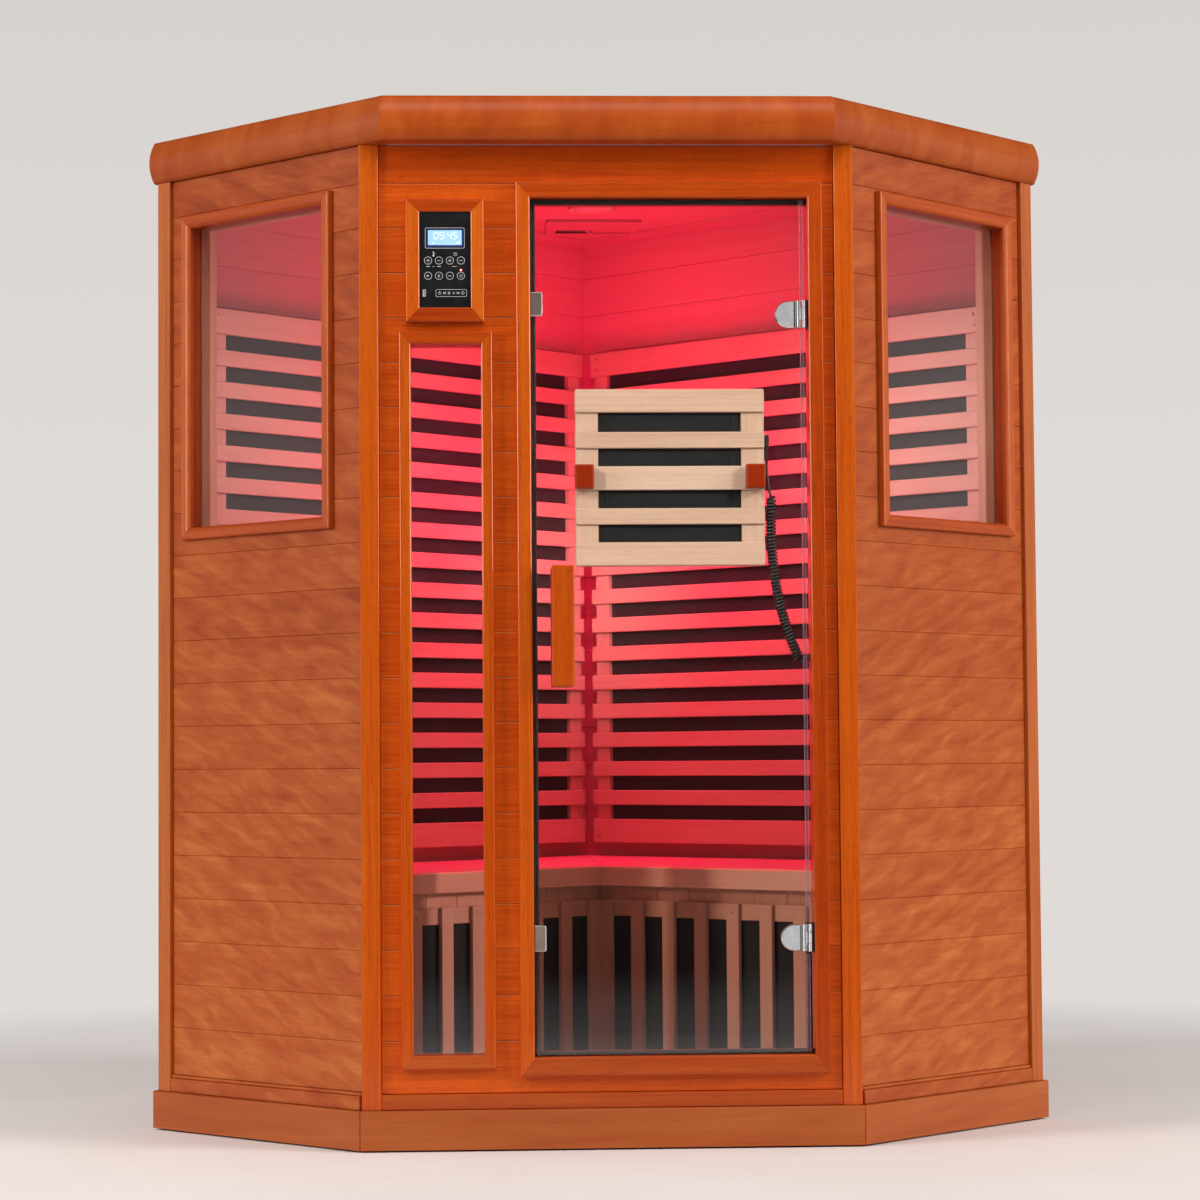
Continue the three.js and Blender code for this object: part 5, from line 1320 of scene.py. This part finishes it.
for tag, (a, b) in (("left", BLOCK_L), ("right", BLOCK_R)):
    w = Work(f"heater_block_cap_{tag}", m_block, body="door", slot="stained_wood", replaces=(f"heater_block_{tag}",))
    w.prism(CAB, eased(rect(a, b, BZ0, BZ1), 3.0, 4), "y", -14.0, 7.6, 3.0, 0.4, "z", 0.0 if tag == "left" else 0.18)
    w.lathe(CAB, ((a + b) / 2, (BZ0 + BZ1) / 2), "y", [(0.5, 7.3), (4.4, 7.3), (4.4, 15.4), (0.5, 15.4)], 20, m_steel, True)
    w.done()

# Door heater: slats on both faces of two stiles, carbon panel between them.
HEAT = (-59.5, 284.5)
BANDS = [(1324.6, 1367.0), (1259.3, 1289.0), (1183.3, 1226.7), (1120.8, 1150.4), (1046.0, 1088.7)]
w = Work("door_heater_slats", m_heat, body="door", slot="hemlock", replaces=("door_heater_frame",))
for x0, x1 in ((HEAT[0] + 0.6, HEAT[0] + 42.0), (HEAT[1] - 42.0, HEAT[1] - 0.1)):
    w.board(CAB, (x0, x1), (22.1, 39.9), (1049.0, 1364.0), 1.6, "z", 0.02)
SLAT_TONE = (-0.15, -0.26, 0.26, -0.10, 0.04)
for k, (a, b) in enumerate(BANDS):
    w.prism(CAB, eased(rect(HEAT[0], HEAT[1], a, b), 3.6, 4), "y", 16.0, 22.0, 1.4, 0.4, "x", SLAT_TONE[k])
    w.prism(CAB, eased(rect(HEAT[0], HEAT[1], a, b), 3.6, 4), "y", 40.0, 46.0, 0.4, 1.4, "x", SLAT_TONE[k] * 0.5)
    if k in (0, 4):
        w.board(CAB, (HEAT[0] + 42.2, HEAT[1] - 42.2), (22.1, 39.9), (a + 3, b - 3), 1.0, "x", 0.0)
w.done()
w = Work("door_heater_carbon", m_carbon, body="door", slot="carbon_heater", replaces=("door_heater_panel",))
w.board(CAB, (HEAT[0] + 42.3, HEAT[1] - 42.3), (28.2, 30.8), (1089.2, 1324.2), 0.8, "x")
for x in (-4.0, 226.0):
    w.board(CAB, (x - 2, x + 2), (27.4, 28.4), (1092.0, 1321.0), 0.4, "z")
w.done()
w = Work("door_heater_screws", m_brass, body="door", slot="polished_steel")
for x in (HEAT[0] + 21, HEAT[1] - 21):
    for k, (a, b) in enumerate(BANDS):
        screw(w, CAB, x, 46.0, (a + b) / 2, "y", 2.8, m_brass, 1.0)
w.done()

# Hinges: D shaped clamp plates on the glass, a folded rib, and a barrel of three knuckles.
for tag, (a, b) in HINGES.items():
    zc, r = (a + b) / 2, (b - a) / 2 - 1.2
    k0, k1 = a + 14.5, b - 14.5
    dee = [(340.0, zc - r), (340.0, zc + r), (305.0 + r, zc + r)]
    dee += [(305.0 + r + r * math.cos(t), zc + r * math.sin(t)) for t in [math.pi / 2 + math.pi * j / 26 for j in range(1, 26)]]
    dee += [(305.0 + r, zc - r)]
    w = Work(f"hinge_leaf_{tag}", m_steel, body="door", slot="polished_steel", replaces=(f"hinge_door_leaf_{tag}",))
    w.prism(CAB, dee, "y", 3.0, 7.6, 1.5, 0.3)
    w.prism(CAB, dee, "y", 14.4, 18.0, 0.3, 1.5)
    # rib folded forward beside the plate, then the web to the barrel
    w.begin(CAB, "z")
    rib = [(340.2, 7.4), (340.2, 3.6), (341.4, 3.0), (342.6, 1.2), (344.2, -0.2), (346.2, -0.6), (347.8, 0.4), (348.4, 2.2), (348.8, 3.9), (351.0, 4.2), (351.0, 7.4)]
    w.loft([[(x, y, z) for x, y in rib] for z in (zc - r, zc + r)], 0, False)
    w.prism(CAB, rect(348.9, 352.4, 1.6, 3.8), "z", k0 + 0.2, k1 - 0.2, 0.3, 0.3)
    barrel = [(2.4, k0), (4.4, k0), (5.0, k0 + 0.6), (5.0, k1 - 0.6), (4.4, k1), (2.4, k1)]
    w.begin(CAB, "z")
    rings = []
    for rad, z in barrel + [barrel[0]]:
        rings.append([(356.5 + rad * math.cos(2 * math.pi * j / 32), 1.0 + rad * math.sin(2 * math.pi * j / 32), z) for j in range(32)])
    w.loft(rings[:-1] + [rings[0]], 0, True, caps=False)
    ob = w.done()
    ob.data.set_sharp_from_angle(angle=math.radians(35))
    w = Work(f"hinge_clamp_{tag}", m_steel, body="door", slot="polished_steel")
    w.lathe(CAB, (326.0, zc), "y", [(0.5, 7.7), (5.8, 7.7), (5.8, 14.3), (0.5, 14.3)], 24, m_rubber, True)
    for z in (zc - 13.0, zc + 13.0):
        screw(w, CAB, 331.0, 18.0, z, "y", 3.6, m_steel, 1.0)
    w.done()
    w = Work(f"hinge_plate_{tag}", m_steel, slot="polished_steel", replaces=(f"hinge_frame_leaf_{tag}",))
    w.board(CAB, (362.9, 364.7), (2.4, 13.8), (a, b), 0.7, "z", mat=None)
    for z0, z1 in ((a, k0 - 0.4), (k1 + 0.4, b)):
        w.lathe(CAB, (356.5, 1.0), "z", [(0.4, z0), (4.2, z0), (5.0, z0 + 0.8), (5.0, z1 - 0.5), (4.5, z1), (0.4, z1)], 32, None, True)
        w.prism(CAB, rect(361.0, 363.2, 2.6, 4.8), "z", z0 + 0.2, z1 - 0.2)
    w.lathe(CAB, (356.5, 1.0), "z", [(0.4, a + 1.0), (2.0, a + 1.0), (2.0, b - 1.0), (0.4, b - 1.0)], 20, None, True)
    ob = w.done()
    ob.data.set_sharp_from_angle(angle=math.radians(35))
    w = Work(f"hinge_backing_{tag}", m_black, slot="black_plastic")
    w.board(CAB, (362.0, 364.8), (14.2, 21.6), (a - 2, b + 2), 0.6, "z")
    w.board(CAB, (361.9, 364.8), (-1.6, 2.2), (a, b), 0.5, "z")
    w.done()

# Catch plates clipped over the free edge.
for tag, (a, b) in (("upper", (1499.5, 1543.0)), ("lower", (352.6, 399.0))):
    w = Work(f"catch_clip_{tag}", m_satin, body="door", slot="polished_steel", replaces=(f"catch_plate_{tag}",))
    # The front bevel of each plate takes the lightened edge material: a painted highlight.
    w.prism(CAB, eased(rect(-138.6, -117.5, a, b), [0.6, 3.5, 3.5, 0.6], 4), "y", 5.2, 7.7, 1.3, 0.2, rim=m_edge_glint)
    w.prism(CAB, eased(rect(-138.6, -117.5, a, b), [0.6, 3.5, 3.5, 0.6], 4), "y", 14.3, 16.0, 0.2, 0.4)
    w.prism(CAB, rect(-138.6, -136.8, 7.8, 14.2), "z", a + 0.3, b - 0.3, 0.2, 0.2)
    w.done()

# Clear strip on the hinge edge of the glass.
w = Work("edge_seal", m_seal, body="door", slot="clear_glass")
for z0, z1 in ((168.4, 345.0), (402.0, 1472.5), (1530.5, 1710.6)):
    for sec, mt in (([(351.9, 6.9), (356.0, 7.6), (356.0, 8.3), (351.9, 7.7)], None),
                    ([(350.5, 6.5), (351.8, 6.5), (351.8, 7.8), (350.5, 7.8)], m_seal_edge_glint),
                    ([(356.1, 7.4), (357.6, 7.8), (357.6, 8.7), (356.1, 8.5)], m_seal_edge_glint)):
        w.begin(CAB, "z")
        w.loft([[(x, y, z) for x, y in sec] for z in (z0, z1)], w.mat(mt), False)
w.done()

# ------------------------------------------------------------------ cord of the door heater
w = Work("cord_grip", m_rubber, body="door", slot="black_rubber", replaces=("cord_strain_relief",))
w.board(CAB, (284.9, 291.0), (27.0, 35.0), (1265.2, 1282.8), 1.2, "z")
ribs = [(0.4, 1232.0), (2.3, 1232.0)]
z = 1233.0
while z < 1262:
    rr = 2.5 + (z - 1232.0) / 32.0 * 0.9
    ribs += [(rr, z), (rr, z + 2.2), (rr - 0.6, z + 2.5), (rr - 0.6, z + 3.3)]
    z += 3.6
ribs += [(3.4, 1264.0), (4.3, 1265.2), (4.3, 1283.0), (3.4, 1284.0), (0.4, 1284.0)]
w.lathe(CAB, (290.0, 31.0), "z", ribs, 20, None, False)
grip = w.done()

WIRE_R, COIL_R, PITCH = 2.5, 7.1, 6.3
TOP = [(290.0, 31.0, 1231.6), (290.2, 31.0, 1222.0), (291.6, 31.5, 1196.0), (294.6, 32.0, 1180.0)]
AXIS = [(297.6, 32.0, 1166.0), (296.8, 32.0, 1142.0), (296.6, 32.0, 1118.0), (297.0, 32.0, 1094.0), (298.2, 32.0, 1071.0), (300.3, 32.0, 1046.0),
        (303.2, 32.0, 1021.6), (307.0, 32.0, 998.0), (311.8, 32.0, 974.5), (317.8, 32.0, 951.0), (325.0, 32.0, 928.0), (333.0, 32.5, 906.0), (341.0, 33.0, 886.0), (345.6, 33.0, 873.0)]
LAST = [(348.6, 33.4, 867.6), (351.6, 34.0, 868.6), (354.6, 34.0, 874.6), (358.4, 34.0, 878.6), (363.6, 34.0, 879.0)]


def spline(points, step):
    """Points every step along a smooth curve through the given ones."""
    ps = [Vector(p) for p in points]
    ps = [ps[0] * 2 - ps[1]] + ps + [ps[-1] * 2 - ps[-2]]
    fine = []
    for i in range(1, len(ps) - 2):
        for k in range(40):
            t = k / 40
            a, b, c, d = ps[i - 1], ps[i], ps[i + 1], ps[i + 2]
            fine.append(0.5 * ((2 * b) + (c - a) * t + (2 * a - 5 * b + 4 * c - d) * t * t + (3 * b - a - 3 * c + d) * t ** 3))
    fine.append(ps[-2])
    out, run, want = [fine[0]], 0.0, step
    for p, q in zip(fine, fine[1:]):
        seg = (q - p).length
        while run + seg >= want:
            out.append(p.lerp(q, (want - run) / seg))
            want += step
        run += seg
    if (out[-1] - fine[-1]).length > step * 0.3:
        out.append(fine[-1])
    return out


line = spline(TOP + AXIS + LAST, PITCH / 18.0)
start_z, run, total = 1174.0, 0.0, 0.0
first = next(k for k, p in enumerate(line) if p.z < start_z)
last = next(k for k, p in enumerate(line) if p.x > 346.0)
wire = []
tangent = (line[1] - line[0]).normalized()
u = tangent.orthogonal().normalized()
step_len = PITCH / 18.0
for k, p in enumerate(line):
    t = (line[min(k + 1, len(line) - 1)] - line[max(k - 1, 0)]).normalized()
    u = tangent.rotation_difference(t) @ u
    u = (u - t * u.dot(t)).normalized()
    tangent = t
    v = t.cross(u)
    into = min(max((k - first) / 16.0, 0.0), 1.0)
    out_of = min(max((last - k) / 16.0, 0.0), 1.0)
    amp = COIL_R * (into * into * (3 - 2 * into)) * (out_of * out_of * (3 - 2 * out_of))
    ang = 2 * math.pi * (k - first) / 18.0
    if amp < 1e-6 and k % 6 and 0 < k < len(line) - 1:
        continue
    wire.append(p + (u * math.cos(ang) + v * math.sin(ang)) * amp)
w = Work("heater_cord_coil", m_cord, body=None, slot="black_rubber", replaces=("heater_cord",))
w.tube(CAB, [tuple(p) for p in wire], WIRE_R, 8)
cord = w.done()
path = [CAB.at(*p) for p in wire]
cord_len = sum((Vector(q) - Vector(p)).length for p, q in zip(path, path[1:]))
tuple(path[0])
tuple(path[-1])
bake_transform(cord)
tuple(path[0])

w = Work("cord_gland", m_rubber, slot="black_rubber")
w.lathe(CAB, (34.0, 879.0), "x", [(1.9, 361.6), (3.2, 361.6), (4.6, 362.6), (6.0, 364.0), (6.0, 365.0), (1.9, 365.0), (1.9, 361.6)], 20, None, True)
w.done()

# ------------------------------------------------------------------ floor, light and camera
sc = bpy.context.scene
me = bpy.data.meshes.new("studio_floor")
N = 96
me.from_pydata([(0, 0, 0)] + [(40 * math.cos(2 * math.pi * k / N), 40 * math.sin(2 * math.pi * k / N), 0) for k in range(N)], [], [(0, k + 1, (k + 1) % N + 1) for k in range(N)])
floor = bpy.data.objects.new("studio_floor", me)
sc.collection.objects.link(floor)
n = Nodes("studio_floor")
c = n.new("ShaderNodeTexCoord").outputs["Object"]
a = n.noise(c, 1.7, 4.0, 0.6)
n.set(n.p.inputs["Base Color"], n.ramp(a, ((0.3, (0.90, 0.855, 0.83)), (0.7, (0.95, 0.905, 0.88)))))
n.set(n.p.inputs["Roughness"], n.remap(a, 0.3, 0.7, 0.75, 0.9))
n.p.inputs["Specular IOR Level"].default_value = 0.1
# The sheet runs out into the pale surroundings.
far = n.nt.nodes.new("ShaderNodeVectorMath")
far.operation = "LENGTH"
n.set(far.inputs[0], c)
fade = n.remap(far.outputs["Value"], 1.5, 3.3, 0.0, 1.0)
fade.node.interpolation_type = "SMOOTHSTEP"
clear = n.new("ShaderNodeBsdfTransparent")
mixer = n.nt.nodes.new("ShaderNodeMixShader")
n.set(mixer.inputs[0], fade)
n.set(mixer.inputs[1], n.p.outputs[0])
n.set(mixer.inputs[2], clear.outputs[0])
n.set(n.out.inputs["Surface"], mixer.outputs[0])
me.materials.append(n.m)

world = bpy.data.worlds.new("studio")
sc.world = world
world.use_nodes = True
# The pale surroundings as seen, and their dimmer light.
wt = world.node_tree
bg = wt.nodes["Background"]
bg.inputs["Color"].default_value = (0.105, 0.102, 0.10, 1.0)
seen = wt.nodes.new("ShaderNodeBackground")
up = wt.nodes.new("ShaderNodeTexCoord")
part = wt.nodes.new("ShaderNodeSeparateXYZ")
shade = wt.nodes.new("ShaderNodeValToRGB")
shade.color_ramp.elements[0].position, shade.color_ramp.elements[0].color = 0.08, (0.75, 0.71, 0.685, 1.0)
shade.color_ramp.elements[1].position, shade.color_ramp.elements[1].color = 0.24, (0.675, 0.645, 0.615, 1.0)
wt.links.new(up.outputs["Generated"], part.inputs[0])
wt.links.new(part.outputs["Z"], shade.inputs[0])
wt.links.new(shade.outputs[0], seen.inputs["Color"])
wl = wt.nodes.new("ShaderNodeLightPath")
wm = wt.nodes.new("ShaderNodeMixShader")
first = wt.nodes.new("ShaderNodeMath")
first.operation = "LESS_THAN"
turned = wt.nodes.new("ShaderNodeMath")
turned.operation = "ADD"
wt.links.new(wl.outputs["Diffuse Depth"], turned.inputs[0])
wt.links.new(wl.outputs["Glossy Depth"], turned.inputs[1])
wt.links.new(turned.outputs[0], first.inputs[0])
first.inputs[1].default_value = 0.5
through = wt.nodes.new("ShaderNodeMath")
through.operation = "MULTIPLY"
wt.links.new(wl.outputs["Is Transmission Ray"], through.inputs[0])
wt.links.new(first.outputs[0], through.inputs[1])
direct = wt.nodes.new("ShaderNodeMath")
direct.operation = "MAXIMUM"
wt.links.new(wl.outputs["Is Camera Ray"], direct.inputs[0])
wt.links.new(through.outputs[0], direct.inputs[1])
wt.links.new(direct.outputs[0], wm.inputs[0])
calm = wt.nodes.new("ShaderNodeBackground")
calm.inputs["Color"].default_value = (0.03, 0.029, 0.028, 1.0)
wg = wt.nodes.new("ShaderNodeMixShader")
wt.links.new(wl.outputs["Is Glossy Ray"], wg.inputs[0])
wt.links.new(bg.outputs[0], wg.inputs[1])
wt.links.new(calm.outputs[0], wg.inputs[2])
wt.links.new(wg.outputs[0], wm.inputs[1])
wt.links.new(seen.outputs[0], wm.inputs[2])
wt.links.new(wm.outputs[0], wt.nodes["World Output"].inputs["Surface"])


def area(name, at, to, size, power, colour, shape="RECTANGLE", spread=math.pi):
    lt = bpy.data.lights.new(name, "AREA")
    lt.shape = shape
    lt.size = size[0]
    if shape in ("RECTANGLE", "ELLIPSE"):
        lt.size_y = size[1]
    lt.energy = power
    lt.color = colour
    lt.spread = spread
    ob = bpy.data.objects.new(name, lt)
    sc.collection.objects.link(ob)
    ob.location = at
    ob.rotation_euler = (Vector(to) - Vector(at)).to_track_quat("-Z", "Y").to_euler()
    return ob


# Studio light for the outside, and a little of it let in on the ends of the back walls and on the bench.
INSIDE = ("front_lining", "wing_lining", "back_lining", "back_slat", "back_carbon", "bench_", "leg_", "ceiling_", "lamp_", "vent_", "floor_boards", "narrow_window_inner", "side_window_inner")
inside = [ob for ob in bpy.data.objects if ob.name.startswith(INSIDE)]


def link_light(light, objects, state):
    col = bpy.data.collections.new(light.name + "_link")
    for ob in objects:
        col.objects.link(ob)
    light.light_linking.receiver_collection = col
    for c in col.collection_objects:
        c.light_linking.link_state = state


heater = [ob for ob in bpy.data.objects if ob.name.startswith(("door_heater_slats", "door_heater_carbon", "door_heater_screws", "heater_cord_coil", "cord_grip"))]
metal = [ob for ob in bpy.data.objects if ob.name.startswith(("hinge_leaf", "hinge_plate", "handle_bolts"))]
WHITE, RED = (1.0, 0.97, 0.94), (1.0, 0.003, 0.122)
for lamp in (
    area("soft_left", (-4.85, -2.65, 2.5), (0, -0.3, 0.9), (2.0, 2.6), 178, WHITE),
    area("soft_right", (4.85, -2.45, 2.5), (0, -0.3, 0.9), (2.0, 2.6), 206, WHITE),
    area("soft_top", (0, -2.4, 3.7), (0, -0.4, 1.0), (3.2, 0.9), 43, WHITE),
):
    link_light(lamp, inside + heater + (metal if lamp.name != "soft_top" else []) + ([floor] if lamp.name == "soft_top" else []), "EXCLUDE")
# Two smaller lamps for the door heater behind its glass.
for lamp in (
    area("key_left", (-3.6, -4.9, 3.3), CAB.at(110, 30, 1200), (0.5, 0.5), 325, WHITE),
    area("key_right", (3.8, -4.9, 3.3), CAB.at(110, 30, 1200), (0.5, 0.5), 325, WHITE),
):
    link_light(lamp, heater, "INCLUDE")
    lamp.visible_camera = lamp.visible_transmission = False
for lamp in (
    area("wash_left", (-2.7, -0.3, 3.0), (-2.3, -0.3, 0), (2.4, 3.6), 22, (0.99, 0.985, 0.985)),
    area("wash_right", (2.7, -0.3, 3.0), (2.3, -0.3, 0), (2.4, 3.6), 15, (0.99, 0.985, 0.985)),
):
    link_light(lamp, [floor], "INCLUDE")
    lamp.visible_camera = lamp.visible_glossy = lamp.visible_transmission = False
rear = [ob for ob in bpy.data.objects if ob.name.startswith(("back_cladding", "back_posts", "back_rail", "roof_back_boards", "roof_cover"))]
for lamp in (
    area("rear_left", (-2.9, 2.6, 2.2), (0, 0.2, 0.9), (2.0, 2.4), 19, WHITE),
    area("rear_right", (2.9, 2.6, 2.2), (0, 0.2, 0.9), (2.0, 2.4), 19, WHITE),
):
    link_light(lamp, rear, "INCLUDE")
    lamp.visible_camera = lamp.visible_glossy = lamp.visible_transmission = False
wash = area("floor_wash", (-0.8, 0.4, 4.6), (-0.5, 0.4, 0), (6.0, 5.0), 62, (1.0, 0.98, 0.965))
link_light(wash, [floor], "INCLUDE")
wash.visible_camera = wash.visible_glossy = wash.visible_transmission = False
slats = [ob for ob in inside if ob.name.startswith(("back_slat", "back_carbon", "side_window_inner"))]
bench_r = [ob for ob in inside if ob.name in ("bench_apron_right", "bench_front_boards_right", "leg_slats_right", "leg_screws_right", "leg_carbon_right")]
bench_l = [ob for ob in inside if ob.name in ("bench_apron_left", "bench_front_boards_left", "leg_slats_left", "leg_screws_left", "leg_carbon_left")]
for lamp, onto in (
    (area("end_left", CAB.at(150, 110, 1380), CAB.at(-760, 500, 1300), (0.3, 0.4), 0.50, (0.92, 1.0, 0.94), "RECTANGLE", math.radians(60)), slats),
    (area("end_right", CAB.at(0, 110, 1380), CAB.at(760, 500, 1300), (0.3, 0.4), 0.74, (0.92, 1.0, 0.94), "RECTANGLE", math.radians(60)), slats),
    (area("in_left", (-4.6, -4.35, 2.7), CAB.at(300, 200, 450), (0.5, 0.5), 285, (1.0, 0.80, 0.68)), [ob for ob in bench_r if "apron" in ob.name]),
    (area("in_left_leg", (-4.6, -4.35, 2.7), CAB.at(300, 200, 450), (0.5, 0.5), 390, (1.0, 0.83, 0.72)), [ob for ob in bench_r if "leg_" in ob.name]),
    (area("in_left_low", (-4.6, -4.35, 2.7), CAB.at(300, 200, 450), (0.5, 0.5), 140, (1.0, 0.80, 0.68)), [ob for ob in bench_r if "boards" in ob.name]),
    (area("in_right", (5.2, -4.0, 2.7), CAB.at(-350, 150, 350), (0.5, 0.5), 398, (1.0, 0.64, 0.65)), [ob for ob in bench_l if "leg_" not in ob.name]),
    (area("in_right_leg", (5.2, -4.0, 2.7), CAB.at(-350, 150, 350), (0.5, 0.5), 565, (1.0, 0.76, 0.78)), [ob for ob in bench_l if "leg_" in ob.name]),
    (area("in_front", CAB.at(-80, 70, 1150), CAB.at(0, 1200, 1080), (0.2, 0.3), 0.32, (1.0, 0.97, 0.97), "RECTANGLE", math.radians(36)), slats),
):
    link_light(lamp, onto, "INCLUDE")
    lamp.visible_camera = lamp.visible_glossy = lamp.visible_transmission = False
fronts = [frame["nodes"][k] for k in ("door_glass", "narrow_window_glass")]
# The lit floor in front, brighter towards the cabin, as the front glass mirrors it.
for y0, y1, lit in ((-4.9, -4.5, 0.08), (-4.5, -4.2, 0.18), (-4.2, -3.9, 0.28), (-3.9, -3.6, 0.38), (-3.6, -3.2, 0.50), (-3.2, -2.7, 0.62), (-2.7, -1.7, 0.74)):
    strip = area(f"floor_strip_{int(-y0 * 10)}", (0, (y0 + y1) / 2, 0.02), (0, (y0 + y1) / 2, 2.0), (5.0, y1 - y0), lit * math.pi * 5.0 * (y1 - y0), (1.0, 0.98, 0.97))
    link_light(strip, fronts, "INCLUDE")
    strip.visible_camera = strip.visible_diffuse = strip.visible_transmission = False
panes = [frame["nodes"][k] for k in ("side_window_glass_left", "side_window_glass_right")]
for card, onto, state in (
    (area("card_left", (-4.6, 0.5, 1.3), (0, 0.5, 1.3), (3.6, 3.2), 22, (1.0, 0.97, 0.95)), panes, "EXCLUDE"),
    (area("card_right", (4.6, 0.5, 1.3), (0, 0.5, 1.3), (3.6, 3.2), 22, (1.0, 0.97, 0.95)), panes, "EXCLUDE"),
    (area("pane_left", (-4.6, 0.5, 1.3), (0, 0.5, 1.3), (3.6, 3.2), 24, (1.0, 0.95, 0.95)), panes, "INCLUDE"),
    (area("pane_right", (4.6, 0.5, 1.3), (0, 0.5, 1.3), (3.6, 3.2), 24, (1.0, 0.95, 0.95)), panes, "INCLUDE"),
    (area("steel_front", (0.9, -6.8, 1.0), (0.3, -0.6, 1.0), (3.6, 4.4), 31, (1.0, 1.0, 1.0)), metal, "INCLUDE"),
    (area("steel_left", (-2.2, -5.2, 1.2), (0.35, -0.6, 1.0), (1.1, 4.0), 42, (1.0, 1.0, 1.0)), metal, "INCLUDE"),
    (area("steel_right", (3.4, -4.0, 1.2), (0.35, -0.6, 1.0), (1.1, 4.0), 42, (1.0, 1.0, 1.0)), metal, "INCLUDE"),
    (area("cord_left", (-4.1, -3.8, 1.9), CAB.at(310, 30, 1050), (0.5, 0.5), 330, (1.0, 0.98, 0.96)), [cord], "INCLUDE"),
    (area("cord_right", (4.0, -4.6, 1.9), CAB.at(310, 30, 1050), (0.5, 0.5), 330, (1.0, 0.98, 0.96)), [cord], "INCLUDE"),
):
    link_light(card, onto, state)
    card.visible_camera = card.visible_diffuse = card.visible_transmission = False
bulb = bpy.data.lights.new("red_room", "POINT")
bulb.shadow_soft_size = 0.16
bulb.energy = 14.2
bulb.color = RED
room = bpy.data.objects.new("red_room", bulb)
sc.collection.objects.link(room)
room.location = CAB.at(0, 600, 1240)
low = [ob for ob in inside if ob.name.startswith(("bench_", "leg_", "floor_boards"))]
walls = [ob for ob in inside if ob.name.startswith(("back_lining", "back_slat", "wing_lining"))]
for lamp, onto in (
    (room, [ob for ob in inside if ob not in low] + [ob for ob in bpy.data.objects if ob.name == "door_casing"]),
    (area("red_down", CAB.at(0, 640, 1785), CAB.at(0, 640, 0), (0.45, 0.45), 22.5, RED, "DISK"), [ob for ob in low if ob.name.startswith("bench_")]),
    (area("red_corner", CAB.at(0, 330, 1500), CAB.at(0, 1247, 1620), (0.3, 0.4), 0.8, RED, "RECTANGLE", math.radians(100)), [ob for ob in walls if "lining" in ob.name]),
):
    link_light(lamp, onto, "INCLUDE")
    lamp.visible_camera = lamp.visible_glossy = lamp.visible_transmission = False

cam = bpy.data.cameras.new("camera")
cam.sensor_width = 36.0
cam.lens = 95.08
cam.clip_end = 100.0
co = bpy.data.objects.new("camera", cam)
sc.collection.objects.link(co)
yaw, pitch, roll = 0.0432, 0.0498, -0.0074
fw = Vector((math.sin(yaw) * math.cos(pitch), math.cos(yaw) * math.cos(pitch), math.sin(pitch)))
rt = Vector((math.cos(yaw), -math.sin(yaw), 0.0))
up = rt.cross(fw)
r2 = rt * math.cos(roll) + up * math.sin(roll)
u2 = up * math.cos(roll) - rt * math.sin(roll)
rot = Matrix(((r2.x, u2.x, -fw.x), (r2.y, u2.y, -fw.y), (r2.z, u2.z, -fw.z))).to_4x4()
co.matrix_world = Matrix.Translation((-0.2635, -6.3014, 0.6990)) @ rot
sc.camera = co
sc.view_settings.view_transform = "Standard"
